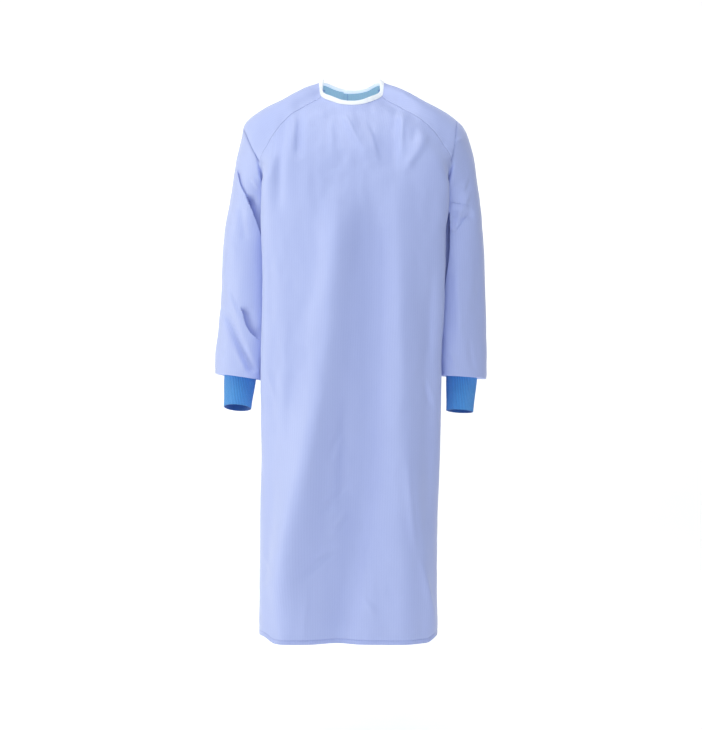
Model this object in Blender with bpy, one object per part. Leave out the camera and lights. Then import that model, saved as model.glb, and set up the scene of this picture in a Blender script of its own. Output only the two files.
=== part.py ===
"""Cover gown with raglan sleeves, knit cuffs and a bound neck, worn open at the back.

Metres, +Z up. The wearer looks along -Y, so the wearer's left arm is at +X. The origin is
between the two sides of the neck, where the shoulders carry the gown.

Each piece of cloth is a wall. Its outer face is a grid of points: a row for each level below
the neckline, and in a row the columns that run round the body or the arm, anticlockwise seen
from above. The inner face is the outer one moved in along its normals by the cloth's thickness.
"""
import bpy
import bmesh
import numpy as np
from math import cos, pi, radians, sin, tan
from mathutils import Vector

# Driving sizes
CLOTH = 0.0015
LEAST_LEAN = 0.7            # a shared normal that leans more than this thickens the wall no more
SEAM_GAP = 0.0003
HEM_Z = -1.175
UNDERARM_DOWN = 0.335       # from the neckline along the raglan seam to the underarm
SLEEVE_END_DOWN = 0.758
GROOVE_FROM, GROOVE_TO = 0.15, 0.23     # levels between which the sleeve turns off the body
BESIDE_FROM = 0.25          # level from which the sides of the body start to face sideways
SLEEVE_SETTLE = 0.06        # length below the underarm in which the sleeve's inner line settles
SLEEVE_CLOSE = 0.10         # length below the underarm in which its two edges come to meet flat
SLEEVE_END_SLOPE = 5        # degrees by which the sleeves' ends drop further towards +X
SLEEVE_END_SPAN = 0.060     # length of sleeve over which that slope grows
END_EASE = 0.35             # how far the last row but one follows the ring that the cuff sets
BETWEEN_X = (0.53, 0.73)    # share of the corner's half width, at the neck and from the chest down
BETWEEN_Y = 0.74            # and share of the way from the corner to the centre in depth
CHEST_DOWN = 0.12
BINDING_HEIGHT = 0.0105
BINDING_TAPE = 0.0009
BINDING_RAISE = 0.25        # share of its height by which the inner leg of the tape is shorter
BINDING_EASE = 0.00025      # more room for the cloth's twist under that shorter leg
LAYER_STEP = 0.0046         # how far the under layer of the back lies inside the upper one
LAYER_EASE = 0.020          # width of cloth in which it gets there
RIBS = 36
RIB_DEPTH = 0.0007
KNIT = 0.0018
CUFF_TUCK = 0.005           # how far the cuff runs up inside the end of the sleeve
CUFF_X, CUFF_Y, CUFF_Z = 0.2355, -0.005, -0.628     # middle of the cuff's top

# How many columns each piece has, and how many of them lie between a side seam and the corner
FRONT_COLUMNS = 26
BACK_COLUMNS = 12
SIDE_COLUMNS = 4
SLEEVE_COLUMNS = 18
CURVE_STEPS = 24            # steps from one point of a section to the next

# Levels of the rows, as distances down from the neckline. The second row of every piece is
# set apart: it runs at the lower edge of the binding.
YOKE_LEVELS = (0.0, 0.020, 0.040, 0.065, 0.095, 0.125, 0.152, 0.176, 0.196, 0.214, 0.234, 0.261,
               0.287, 0.311, UNDERARM_DOWN)
SKIRT_ROWS = 13
SLEEVE_LEVELS = (0.365, 0.395, 0.430, 0.470, 0.510, 0.550, 0.590, 0.630, 0.665, 0.695, 0.720,
                 0.740, 0.751, SLEEVE_END_DOWN)


def table(columns, *rows):
    """A table with named columns, and a row for each section or fold."""
    return {name: [row[place] for row in rows] for place, name in enumerate(columns)}


# The front of the body, half of it: the raglan and side seam, the corner where the front turns
# to the side, and the centre line
FRONT = table(
    ("down", "side_x", "side_y", "side_z", "corner_x", "corner_y", "corner_z", "mid_y", "mid_z"),
    (0.000, 0.0590, -0.031, -0.031, 0.0410, -0.052, -0.0455, -0.064, -0.053),
    (0.050, 0.097, -0.054, -0.060, 0.072, -0.070, -0.070, -0.079, -0.080),
    (0.105, 0.139, -0.074, -0.089, 0.107, -0.088, -0.097, -0.095, -0.108),
    (0.140, 0.161, -0.081, -0.112, 0.128, -0.098, -0.119, -0.106, -0.130),
    (0.180, 0.184, -0.083, -0.147, 0.151, -0.107, -0.152, -0.117, -0.159),
    (0.210, 0.198, -0.078, -0.174, 0.171, -0.109, -0.178, -0.123, -0.184),
    (0.275, 0.188, -0.043, -0.230, 0.192, -0.096, -0.231, -0.130, -0.232),
    (0.335, 0.173, 0.000, -0.270, 0.193, -0.091, -0.270, -0.133, -0.270),
    (0.395, 0.168, 0.002, -0.330, 0.190, -0.092, -0.330, -0.135, -0.330),
    (0.485, 0.167, 0.004, -0.420, 0.187, -0.094, -0.420, -0.136, -0.420),
    (0.665, 0.168, 0.004, -0.600, 0.185, -0.094, -0.600, -0.136, -0.600),
    (0.785, 0.179, 0.003, -0.720, 0.184, -0.085, -0.720, -0.135, -0.720),
    (0.965, 0.185, 0.002, -0.900, 0.178, -0.083, -0.900, -0.133, -0.900),
    (1.240, 0.185, 0.000, HEM_Z, 0.173, -0.083, HEM_Z, -0.132, HEM_Z),
)
# The back of the body, the same way
BACK = table(
    ("down", "side_x", "side_y", "side_z", "corner_x", "corner_y", "corner_z", "mid_y", "mid_z"),
    (0.000, 0.056, 0.036, -0.003, 0.038, 0.0525, -0.0045, 0.064, -0.006),
    (0.050, 0.092, 0.062, -0.028, 0.068, 0.078, -0.030, 0.088, -0.034),
    (0.105, 0.131, 0.083, -0.061, 0.102, 0.099, -0.064, 0.107, -0.069),
    (0.140, 0.152, 0.090, -0.088, 0.122, 0.107, -0.092, 0.115, -0.097),
    (0.180, 0.174, 0.090, -0.127, 0.146, 0.112, -0.131, 0.122, -0.136),
    (0.210, 0.187, 0.083, -0.162, 0.165, 0.111, -0.166, 0.126, -0.170),
    (0.275, 0.186, 0.043, -0.227, 0.184, 0.094, -0.228, 0.130, -0.229),
    (0.335, 0.173, 0.000, -0.270, 0.184, 0.088, -0.270, 0.131, -0.270),
    (0.395, 0.168, 0.002, -0.330, 0.182, 0.087, -0.330, 0.130, -0.330),
    (0.485, 0.167, 0.004, -0.420, 0.179, 0.086, -0.420, 0.127, -0.420),
    (0.665, 0.168, 0.004, -0.600, 0.178, 0.086, -0.600, 0.124, -0.600),
    (0.785, 0.178, 0.003, -0.720, 0.178, 0.080, -0.720, 0.124, -0.720),
    (0.965, 0.185, 0.002, -0.900, 0.176, 0.080, -0.900, 0.127, -0.900),
    (1.240, 0.185, 0.000, HEM_Z, 0.173, 0.082, HEM_Z, 0.131, HEM_Z),
)
# A sleeve: its outer line, which is the shoulder's ridge higher up, the middle of the section,
# half its depth front to back, and how far the section leans forward in degrees
SLEEVE = table(
    ("down", "outer_x", "outer_z", "mid_x", "mid_z", "y", "half_depth", "lean"),
    (0.000, 0.066, 0.000, 0.0640, -0.0090, 0.002, 0.020, -22),
    (0.050, 0.103, -0.014, 0.101, -0.024, 0.003, 0.038, -6),
    (0.105, 0.150, -0.0385, 0.146, -0.052, 0.004, 0.056, -3),
    (0.140, 0.185, -0.058, 0.178, -0.078, 0.004, 0.063, -2),
    (0.180, 0.216, -0.077, 0.204, -0.103, 0.004, 0.063, -1),
    (0.210, 0.234, -0.097, 0.219, -0.128, 0.003, 0.061, 0),
    (0.235, 0.242, -0.124, 0.2235, -0.155, 0.003, 0.061, 0),
    (0.275, 0.252, -0.165, 0.2245, -0.200, 0.003, 0.062, 0),
    (0.335, 0.262, -0.232, 0.2175, -0.251, 0.003, 0.063, 0),
    (0.395, 0.272, -0.298, 0.2275, -0.306, 0.004, 0.063, 0),
    (0.470, 0.279, -0.375, 0.231, -0.378, 0.005, 0.062, 2),
    (0.555, 0.282, -0.460, 0.232, -0.460, 0.005, 0.061, 6),
    (0.630, 0.2855, -0.533, 0.2325, -0.533, 0.003, 0.061, 9),
    (0.695, 0.289, -0.592, 0.233, -0.594, 0.000, 0.060, 12),
    (0.725, 0.2890, -0.614, 0.234, -0.617, -0.002, 0.058, 13),
    (0.742, 0.285, -0.627, 0.2355, -0.630, -0.004, 0.053, 13),
    (0.758, 0.273, -0.630, 0.2355, -0.632, -0.005, 0.040, 13),
)
# The gown hangs a little askew: how far each height is moved to +X
SWAY = table(
    ("z", "x"),
    (-1.175, -0.006), (-0.950, -0.005), (-0.850, -0.002), (-0.740, 0.000), (-0.600, 0.000),
    (-0.500, 0.004), (-0.400, 0.0055), (-0.320, 0.0055), (-0.250, 0.0085), (-0.170, 0.0095),
    (-0.120, 0.0080), (-0.090, 0.0040), (-0.060, 0.0015), (-0.020, 0.0010), (0.000, 0.0010),
)
# The free edges of the back: how far each runs past the centre line
OVERLAP = table(
    ("down", "under", "upper"),
    (0.000, 0.017, 0.034), (0.200, 0.022, 0.040), (0.600, 0.036, 0.056), (1.240, 0.055, 0.075),
)
# The largest folds, each a soft ridge (+) or trough (-) along a line seen from the front or back
FOLDS = table(
    ("name", "face", "x0", "z0", "x1", "z1", "width", "height"),
    ("long ridge of the wearer's right", -1, -0.022, -0.215, -0.140, -1.300, 0.034, 0.013),
    ("long trough in the middle", -1, 0.012, -0.240, -0.062, -1.300, 0.028, -0.013),
    ("long ridge of the wearer's left", -1, 0.088, -0.200, 0.122, -1.300, 0.034, 0.011),
    ("trough by the left side", -1, 0.158, -0.400, 0.164, -0.960, 0.020, -0.006),
    ("hem ridge at the left", -1, 0.118, -0.780, 0.170, -1.200, 0.015, 0.004),
    ("trough by the right side", -1, -0.163, -0.500, -0.168, -1.300, 0.018, -0.005),
    ("chest trough, right, outer", -1, -0.158, -0.105, -0.155, -0.290, 0.013, -0.005),
    ("chest trough, right, inner", -1, -0.121, -0.080, -0.110, -0.200, 0.012, -0.005),
    ("chest ridge, middle", -1, -0.014, -0.070, 0.045, -0.185, 0.014, 0.004),
    ("chest trough, middle", -1, 0.014, -0.080, 0.068, -0.200, 0.014, -0.004),
    ("chest ridge, left", -1, 0.108, -0.075, 0.092, -0.190, 0.013, 0.005),
    ("chest ridge, left, outer", -1, 0.158, -0.115, 0.104, -0.205, 0.012, 0.005),
    ("shoulder crease, right", -1, -0.240, -0.092, -0.190, -0.190, 0.010, -0.007),
    ("shoulder crease, left", -1, 0.234, -0.080, 0.200, -0.195, 0.010, -0.007),
    ("elbow trough, right", -1, -0.236, -0.225, -0.192, -0.365, 0.014, -0.007),
    ("forearm trough, right", -1, -0.278, -0.470, -0.222, -0.622, 0.014, -0.006),
    ("elbow trough, left", -1, 0.202, -0.300, 0.262, -0.285, 0.012, -0.006),
    ("forearm ridge, left", -1, 0.222, -0.340, 0.236, -0.610, 0.018, 0.005),
    ("back ridge, right", 1, -0.085, -0.180, -0.105, -1.300, 0.034, 0.010),
    ("back trough, right", 1, -0.135, -0.260, -0.150, -1.300, 0.026, -0.008),
    ("back trough, left", 1, 0.110, -0.220, 0.128, -1.300, 0.030, -0.009),
    ("back ridge, left", 1, 0.150, -0.300, 0.162, -1.300, 0.024, 0.007),
    ("sleeve back trough, right", 1, -0.200, -0.280, -0.262, -0.360, 0.014, -0.006),
    ("sleeve back trough, left", 1, 0.205, -0.330, 0.262, -0.270, 0.014, -0.006),
)
FADE = 0.22                 # share of a fold's length in which it grows and dies away
FACING = (0.05, 0.50)       # how far a surface faces the fold's side before it takes none, or all
# The cuffs: lean forward in degrees, length below the sleeve, radius at top and bottom
CUFFS = table(
    ("name", "side", "lean", "length", "top", "bottom"),
    ("right", -1, 16, 0.068, 0.0335, 0.0290),
    ("left", 1, 9, 0.074, 0.0325, 0.0285),
)
CUFF_SLOPE = 4              # degrees by which the cuffs' rings drop towards +X
CUFF_RINGS = (0.25, 0.6, 1.0)   # shares of its length at which a cuff has a ring
# Press studs on the overlap of the back: level down from the neckline
STUDS = table(("name", "down"), ("neck", 0.040), ("waist", 0.480))
STUD_RADIUS = 0.0062
STUD_CAP = 0.0016
STUD_EASE = 0.0005          # room for the cloth's curve under a flat stud
STUD_SIDES = 20
STUD_CROWN = 0.8            # a cap's top is this much smaller than its base
STUD_POST = 0.7             # radii of the middle piece and of the rivet, as shares of the cap's
STUD_RIVET = 0.8

COLLECTION = "cover_gown"
COLOURS = {
    "cloth": ((0.43, 0.50, 0.84, 1.0), 0.75),
    "knit": ((0.09, 0.26, 0.62, 1.0), 0.85),
    "tape": ((0.84, 0.88, 0.95, 1.0), 0.70),
    "stud": ((0.78, 0.82, 0.92, 1.0), 0.35),
}


def read(source, key, where, column):
    """Value of a column at a place in the table, on a smooth line that never overshoots."""
    x, y = np.array(source[key], float), np.array(source[column], float)
    step = np.diff(x)
    rise = np.diff(y) / step
    slope = np.zeros(len(x))
    same = rise[:-1] * rise[1:] > 0
    before, after = step[:-1] + 2 * step[1:], 2 * step[:-1] + step[1:]
    with np.errstate(divide="ignore", invalid="ignore"):
        mean = (before + after) / (before / rise[:-1] + after / rise[1:])
    slope[1:-1] = np.where(same, mean, 0.0)
    slope[0], slope[-1] = rise[0], rise[-1]
    where = np.clip(np.asarray(where, float), x[0], x[-1])
    cell = np.clip(np.searchsorted(x, where) - 1, 0, len(x) - 2)
    t = (where - x[cell]) / step[cell]
    value = y[cell] * (1 + 2 * t) * (1 - t) ** 2 + slope[cell] * step[cell] * t * (1 - t) ** 2
    return value + y[cell + 1] * t * t * (3 - 2 * t) + slope[cell + 1] * step[cell] * t * t * (t - 1)


def smooth(value):
    """0 below 0, 1 above 1, and an even turn between them."""
    value = np.clip(value, 0.0, 1.0)
    return value * value * (3 - 2 * value)


def unit(vectors):
    length = np.linalg.norm(vectors, axis=-1, keepdims=True)
    return vectors / np.maximum(length, 1e-12)


def curve(points, start=None, end=None):
    """Many points on the smooth curve through a few, with the end directions where given."""
    points = np.array(points, float)
    count = len(points)
    step = np.linalg.norm(np.diff(points, axis=0), axis=1)
    chord = np.diff(points, axis=0) / step[:, None]
    matrix, right = np.zeros((count, count)), np.zeros((count, 3))
    matrix[0, :2], right[0] = (2, 1), 3 * chord[0]
    matrix[-1, -2:], right[-1] = (1, 2), 3 * chord[-1]
    if start is not None:
        matrix[0, :2], right[0] = (1, 0), start
    if end is not None:
        matrix[-1, -2:], right[-1] = (0, 1), end
    for k in range(1, count - 1):
        matrix[k, k - 1:k + 2] = (step[k], 2 * (step[k - 1] + step[k]), step[k - 1])
        right[k] = 3 * (step[k] * chord[k - 1] + step[k - 1] * chord[k])
    slope = np.linalg.solve(matrix, right)
    t = np.linspace(0, 1, CURVE_STEPS, endpoint=False)[:, None]
    made = [points[k] * (1 + 2 * t) * (1 - t) ** 2 + slope[k] * step[k] * t * (1 - t) ** 2
            + points[k + 1] * t * t * (3 - 2 * t) + slope[k + 1] * step[k] * t * t * (t - 1)
            for k in range(count - 1)]
    return np.vstack(made + [points[-1:]])


def run_of(dense):
    """Length of a curve up to each of its points."""
    return np.concatenate(([0], np.cumsum(np.linalg.norm(np.diff(dense, axis=0), axis=1))))


def along(dense, lengths):
    """Points of a curve at lengths from its start."""
    run = run_of(dense)
    return np.stack([np.interp(lengths, run, dense[:, axis]) for axis in range(3)], axis=1)


def half_body(source, down, side):
    """Side, corner, the point between, and centre of the front or back on one side."""
    def value(name):
        return read(source, "down", down, name)
    edge = np.array((side * value("side_x"), value("side_y"), value("side_z")))
    corner = np.array((side * value("corner_x"), value("corner_y"), value("corner_z")))
    centre = np.array((0.0, value("mid_y"), value("mid_z")))
    share_x = BETWEEN_X[0] + (BETWEEN_X[1] - BETWEEN_X[0]) * smooth(down / CHEST_DOWN)
    between = np.array((corner[0] * share_x, *(corner[1:] + (centre - corner)[1:] * BETWEEN_Y)))
    return edge, corner, between, centre


def across_seam(source, down, facing):
    """The way the cloth runs over the raglan seam of the left side, towards the body."""
    front, _, back = sleeve_middle(down)
    corner = half_body(source, down, 1)[1]
    return unit(corner - (front if facing < 0 else back))


def leave_seam(source, down, facing):
    """The way the body's cloth leaves its left seam: over it, then on, then straight forward."""
    edge, corner, _, _ = half_body(source, down, 1)
    groove = smooth((down - GROOVE_FROM) / (GROOVE_TO - GROOVE_FROM))
    beside = smooth((down - BESIDE_FROM) / (UNDERARM_DOWN - BESIDE_FROM))
    way = across_seam(source, down, facing) * (1 - groove) + unit(corner - edge) * groove
    return unit(way * (1 - beside) + np.array((0.0, facing, 0.0)) * beside)


def body_row(source, down, facing):
    """The whole front or back at one level, from side seam to side seam, anticlockwise."""
    left = half_body(source, down, 1)
    right = half_body(source, down, -1)
    points = right + left[2::-1] if facing < 0 else left + right[2::-1]
    way = leave_seam(source, down, facing)
    mirrored = way * (-1, 1, 1)
    return curve(points, mirrored if facing < 0 else way, -(way if facing < 0 else mirrored))


def sleeve_middle(down):
    """Front, outer and back point of the left sleeve's section."""
    def value(name):
        return read(SLEEVE, "down", down, name)
    middle = np.array((value("mid_x"), value("y"), value("mid_z")))
    lean = radians(value("lean"))
    to_front = value("half_depth") * np.array((0.0, -cos(lean), sin(lean)))
    outer = np.array((value("outer_x"), value("y"), value("outer_z")))
    return middle + to_front, outer, middle - to_front


def sleeve_row(down, side):
    """The sleeve's section at one level from the front seam over the outside to the back."""
    front, outer, back = sleeve_middle(down)
    if down <= UNDERARM_DOWN:
        inner_front, inner_back = half_body(FRONT, down, 1)[0], half_body(BACK, down, 1)[0]
    else:
        settle = smooth((down - UNDERARM_DOWN) / SLEEVE_SETTLE)
        inner_front = front + back - outer
        inner_front[1] = outer[1] * settle
        inner_back = inner_front
    points = np.array((inner_front, front, outer, back, inner_back))
    groove = smooth((down - GROOVE_FROM) / (GROOVE_TO - GROOVE_FROM))
    closing = smooth((down - UNDERARM_DOWN) / SLEEVE_CLOSE)
    forward = np.array((0.0, -1.0, 0.0))
    start = unit(points[1] - points[0]) * groove - across_seam(FRONT, down, -1) * (1 - groove)
    end = unit(points[-1] - points[-2]) * groove + across_seam(BACK, down, 1) * (1 - groove)
    start = unit(unit(start) * (1 - closing) + forward * closing)
    end = unit(unit(end) * (1 - closing) + forward * closing)
    made = curve(points, start, end) * (side, 1, 1)
    return made if side > 0 else made[::-1]


def cuff_frame(place):
    """Centre of the cuff's top, and its own directions: to +X, to the front, and down."""
    side, lean, slope = CUFFS["side"][place], radians(CUFFS["lean"][place]), radians(CUFF_SLOPE)
    across = np.array((cos(slope), 0.0, -sin(slope)))
    forward = np.array((0.0, -cos(lean), sin(lean)))
    forward = unit(forward - across * np.dot(forward, across))
    downward = np.cross(across, forward)
    return np.array((side * CUFF_X, CUFF_Y, CUFF_Z)), across, forward, downward


def cuff_ring(place, radii, angles):
    """Points round the cuff's top ring; angle 0 is at +X, and it turns anticlockwise."""
    centre, across, forward, _ = cuff_frame(place)
    turn = np.cos(angles)[:, None] * across - np.sin(angles)[:, None] * forward
    return centre + turn * np.reshape(radii, (-1, 1))


def sway(points):
    points = points.copy()
    points[..., 0] += read(SWAY, "z", points[..., 2], "x")
    return points


def neck_row(first, lower):
    """The row at the lower edge of the binding, the same distance down on every column."""
    fall = lower - first
    return first + fall * (BINDING_HEIGHT / np.linalg.norm(fall, axis=1, keepdims=True))


def grid_of(rows):
    """Rows of a piece, the second of them set at the lower edge of the binding."""
    rows = list(rows)
    rows[1] = neck_row(rows[0], rows[1])
    return sway(np.array(rows))


def body_levels():
    skirt = np.linspace(UNDERARM_DOWN, FRONT["down"][-1], SKIRT_ROWS + 1)[1:]
    return np.concatenate((YOKE_LEVELS, skirt))


def front_grid():
    """The front from side to side, with a column on each corner at every level."""
    columns = (0, SIDE_COLUMNS, FRONT_COLUMNS - SIDE_COLUMNS, FRONT_COLUMNS)
    rows = []
    for down in body_levels():
        dense = body_row(FRONT, down, -1)
        marks = run_of(dense)[[0, CURVE_STEPS, -1 - CURVE_STEPS, -1]]
        rows.append(along(dense, np.interp(np.arange(FRONT_COLUMNS + 1), columns, marks)))
    return grid_of(rows)


def back_grid(side):
    """One back panel, from its side seam to its free edge past the centre line."""
    columns = (0, SIDE_COLUMNS, BACK_COLUMNS)
    rows = []
    for down in body_levels():
        dense = body_row(BACK, down, 1)
        dense = dense if side > 0 else dense[::-1]
        past = read(OVERLAP, "down", down, "under" if side > 0 else "upper")
        run = run_of(dense)
        marks = (0, run[CURVE_STEPS], np.interp(past, -side * dense[:, 0], run))
        row = along(dense, np.interp(np.arange(BACK_COLUMNS + 1), columns, marks))
        rows.append(row if side > 0 else row[::-1])
    return grid_of(rows)


def sleeve_grid(place):
    side = CUFFS["side"][place]
    shares = np.linspace(0, 1, SLEEVE_COLUMNS + 1)
    levels = YOKE_LEVELS + SLEEVE_LEVELS
    sections = [sleeve_row(down, side) for down in levels]
    rows = [along(dense, shares * run_of(dense)[-1]) for dense in sections]
    end_radius = (CUFFS["top"][place] + SEAM_GAP) / cos(pi / SLEEVE_COLUMNS)
    start_angle = pi if side > 0 else 0.0
    ring = cuff_ring(place, end_radius, start_angle + 2 * pi * shares)
    grid = grid_of(rows)
    drop = smooth((np.array(levels) - SLEEVE_END_DOWN + SLEEVE_END_SPAN) / SLEEVE_END_SPAN)
    grid[..., 2] -= drop[:, None] * (grid[..., 0] - side * CUFF_X) * tan(radians(SLEEVE_END_SLOPE))
    grid[-1] = ring
    grid[-2] += (ring - grid[-2]) * END_EASE
    grid[len(YOKE_LEVELS) - 1:, -1] = grid[len(YOKE_LEVELS) - 1:, 0]
    return grid


def normals_of(grid, closed_from=None):
    """Outward normals of a grid; rows from closed_from on are closed tubes."""
    down, across = np.gradient(grid, axis=0), np.gradient(grid, axis=1)
    if closed_from is not None:
        turn = (grid[closed_from:, 1] - grid[closed_from:, -2]) / 2
        across[closed_from:, 0] = across[closed_from:, -1] = turn
    return unit(np.cross(down, across))


def seams():
    """Each seam: the piece before it and the piece after it, anticlockwise, and its rows."""
    yoke, skirt = slice(0, len(YOKE_LEVELS)), slice(len(YOKE_LEVELS) - 1, None)
    return (("front_panel", "sleeve_left", yoke), ("sleeve_left", "back_left", yoke),
            ("back_right", "sleeve_right", yoke), ("sleeve_right", "front_panel", yoke),
            ("front_panel", "back_left", skirt), ("back_right", "front_panel", skirt))


def share_normals(pieces):
    """Give pieces that meet at a seam one normal there, so that their walls end face to face."""
    under = len(YOKE_LEVELS) - 1
    for before, after, rows in seams():
        mean = unit(pieces[before]["normal"][rows, -1] + pieces[after]["normal"][rows, 0])
        pieces[before]["normal"][rows, -1] = mean
        pieces[after]["normal"][rows, 0] = mean
    for before, after, _ in seams():
        pieces[before]["normal"][under, -1] = pieces[after]["normal"][under, 0] = (0.0, 0.0, -1.0)


def part_seams(pieces):
    """Move the two edges at each seam apart, square to the seam and to the cloth."""
    under = len(YOKE_LEVELS) - 1
    moves = {name: np.zeros(piece["outer"].shape) for name, piece in pieces.items()}
    for before, after, rows in seams():
        line = pieces[before]["outer"][rows, -1]
        aside = unit(np.cross(pieces[before]["normal"][rows, -1], np.gradient(line, axis=0)))
        back = pieces[before]["outer"][rows, -2] - line
        aside *= np.sign(np.sum(aside * back)) * SEAM_GAP / 2
        moves[before][rows, -1] += aside
        moves[after][rows, 0] -= aside
    for name in ("sleeve_left", "sleeve_right"):
        moves[name][under, (0, -1)] = moves[name][under, 0] + moves[name][under, -1]
    for name, piece in pieces.items():
        for face in ("outer", "inner"):
            piece[face] = piece[face] + moves[name]


def fold_push(points, normals):
    """How far each point is pushed out or in by the folds."""
    push = np.zeros(points.shape[:-1])
    for row in zip(*(FOLDS[name] for name in ("face", "x0", "z0", "x1", "z1", "width", "height"))):
        face, x0, z0, x1, z1, width, height = row
        line = np.array((x1 - x0, z1 - z0))
        length = np.linalg.norm(line)
        x, z = points[..., 0] - x0, points[..., 2] - z0
        share = (x * line[0] + z * line[1]) / length ** 2
        aside = (x * line[1] - z * line[0]) / length
        fade = smooth(share / FADE) * smooth((1 - share) / FADE)
        turned = smooth((face * normals[..., 1] - FACING[0]) / (FACING[1] - FACING[0]))
        push += height * fade * turned * np.exp(-(aside / width) ** 2)
    return push


def lay_under(grid, normal):
    """Move the under layer of the back in, where the upper one lies over it."""
    reach = read(OVERLAP, "down", body_levels(), "upper")[:, None]
    inside = smooth((reach + LAYER_EASE - grid[..., 0]) / LAYER_EASE)
    return grid - normal * (inside * LAYER_STEP)[..., None]


def gown_pieces():
    """Outer and inner faces of the five pieces of cloth."""
    closed = len(YOKE_LEVELS) - 1
    pieces = {
        "front_panel": {"outer": front_grid(), "closed": None},
        "back_left": {"outer": back_grid(1), "closed": None},
        "back_right": {"outer": back_grid(-1), "closed": None},
        "sleeve_left": {"outer": sleeve_grid(1), "closed": closed},
        "sleeve_right": {"outer": sleeve_grid(0), "closed": closed},
    }
    for piece in pieces.values():
        piece["normal"] = normals_of(piece["outer"], piece["closed"])
    share_normals(pieces)
    for name, piece in pieces.items():
        push = fold_push(piece["outer"], piece["normal"])
        if name.startswith("sleeve"):
            push[-2:] = 0.0
        piece["outer"] = piece["outer"] + piece["normal"] * push[..., None]
        if name == "back_left":
            piece["outer"] = lay_under(piece["outer"], piece["normal"])
        piece["flat"] = normals_of(piece["outer"], piece["closed"])
        piece["normal"] = piece["flat"].copy()
    share_normals(pieces)
    for place, side in enumerate(("right", "left")):
        pieces["sleeve_" + side]["normal"][-1] = cuff_frame(place)[3]
        pieces["sleeve_" + side]["flat"][-1] = cuff_frame(place)[3]
    for piece in pieces.values():
        lean = np.sum(piece["normal"] * piece["flat"], axis=-1, keepdims=True)
        depth = CLOTH / np.clip(lean, LEAST_LEAN, 1.0)
        piece["inner"] = piece["outer"] - piece["normal"] * depth
    part_seams(pieces)
    return pieces


def wall(outer, inner, closed):
    """Vertices and faces of the closed wall between two grids; a tube from row closed on.

    A quad is split from its first corner. The two faces of a wall split the same way, and so
    do the two ends that meet at a seam, or they would cross where the seam twists.
    """
    rows, columns = outer.shape[:2]
    number, points = {}, []
    for face, grid in enumerate((outer, inner)):
        for i in range(rows):
            for j in range(columns):
                if closed is not None and i >= closed and j == columns - 1:
                    number[face, i, j] = number[face, i, 0]
                    continue
                number[face, i, j] = len(points)
                points.append(tuple(grid[i, j]))
    faces = []
    for i in range(rows - 1):
        for j in range(columns - 1):
            corners = [(i, j), (i + 1, j), (i + 1, j + 1), (i, j + 1)]
            faces.append([number[0, a, b] for a, b in corners])
            faces.append([number[1, a, b] for a, b in corners[:1] + corners[:0:-1]])
    edges = [((0, j), (0, j + 1)) for j in range(columns - 1)]
    edges += [((rows - 1, j + 1), (rows - 1, j)) for j in range(columns - 1)]
    side_rows = closed if closed is not None else rows - 1
    edges += [((i, columns - 1), (i + 1, columns - 1)) for i in range(side_rows)]
    for one, other in edges:
        faces.append([number[0, *one], number[0, *other], number[1, *other], number[1, *one]])
    for i in range(side_rows):
        faces.append([number[0, i, 0], number[1, i, 0], number[1, i + 1, 0], number[0, i + 1, 0]])
    return points, faces


def material(name):
    colour, roughness = COLOURS[name]
    made = bpy.data.materials.get(name) or bpy.data.materials.new(name)
    made.use_nodes = True
    shader = made.node_tree.nodes["Principled BSDF"]
    shader.inputs["Base Color"].default_value = colour
    shader.inputs["Roughness"].default_value = roughness
    shader.inputs["Metallic"].default_value = 0.0
    return made


def add_object(name, points, faces, finish, group, smooth_faces=True):
    mesh = bpy.data.meshes.new(name)
    mesh.from_pydata([tuple(map(float, point)) for point in points], [], faces)
    mesh.update()
    mesh.materials.append(material(finish))
    if smooth_faces:
        mesh.shade_smooth()
        mesh.set_sharp_from_angle(angle=radians(40))
    made = bpy.data.objects.new(name, mesh)
    group.objects.link(made)
    return made


def binding_stations(pieces):
    """Where the binding goes: the two top rows of every piece, in order round the neck."""
    order = ("back_right", "sleeve_right", "front_panel", "sleeve_left", "back_left")
    stations = []
    for name in order:
        piece = pieces[name]
        for column in range(piece["outer"].shape[1]):
            station = [piece[face][row, column] for face in ("outer", "inner") for row in (0, 1)]
            station += [piece["normal"][row, column] for row in (0, 1)]
            if stations and column == 0:
                stations[-1] = [(a + b) / 2 for a, b in zip(stations[-1], station)]
            else:
                stations.append(station)
    return stations


def binding(pieces, group):
    """The folded tape over the edge of the neck, with its two ends at the free edges."""
    rings = []
    near, far = SEAM_GAP, SEAM_GAP + BINDING_TAPE
    near_in, far_in = near + BINDING_EASE, far + BINDING_EASE
    for outer_top, outer_low, inner_top, inner_low, out_top, out_low in binding_stations(pieces):
        rise = unit(outer_top - outer_low)
        low_in = inner_low + (inner_top - inner_low) * BINDING_RAISE
        rings.append((
            outer_low + out_low * far, outer_top + out_top * far + rise * near,
            outer_top + rise * (near + BINDING_TAPE), inner_top + rise * (near + BINDING_TAPE),
            inner_top - out_top * far_in + rise * near, low_in - out_low * far_in,
            low_in - out_low * near_in, inner_top - out_top * near_in + rise * near,
            outer_top + out_top * near + rise * near, outer_low + out_low * near,
        ))
    size = len(rings[0])
    inner_side = 6              # this side lies on the inner face and splits as that does
    points = [point for ring in rings for point in ring]
    faces = []
    for k in range(len(rings) - 1):
        for j in range(size):
            a, b = k * size + j, k * size + (j + 1) % size
            quad = [a, a + size, b + size, b]
            faces.append(quad[1:] + quad[:1] if j == inner_side else quad)
    strips = ((0, 1, 8, 9), (1, 2, 3, 4, 7, 8), (4, 5, 6, 7))
    last = (len(rings) - 1) * size
    for strip in strips:
        faces.append(list(strip))
        faces.append([last + k for k in reversed(strip)])
    add_object("neck_binding", points, faces, "tape", group)


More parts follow.
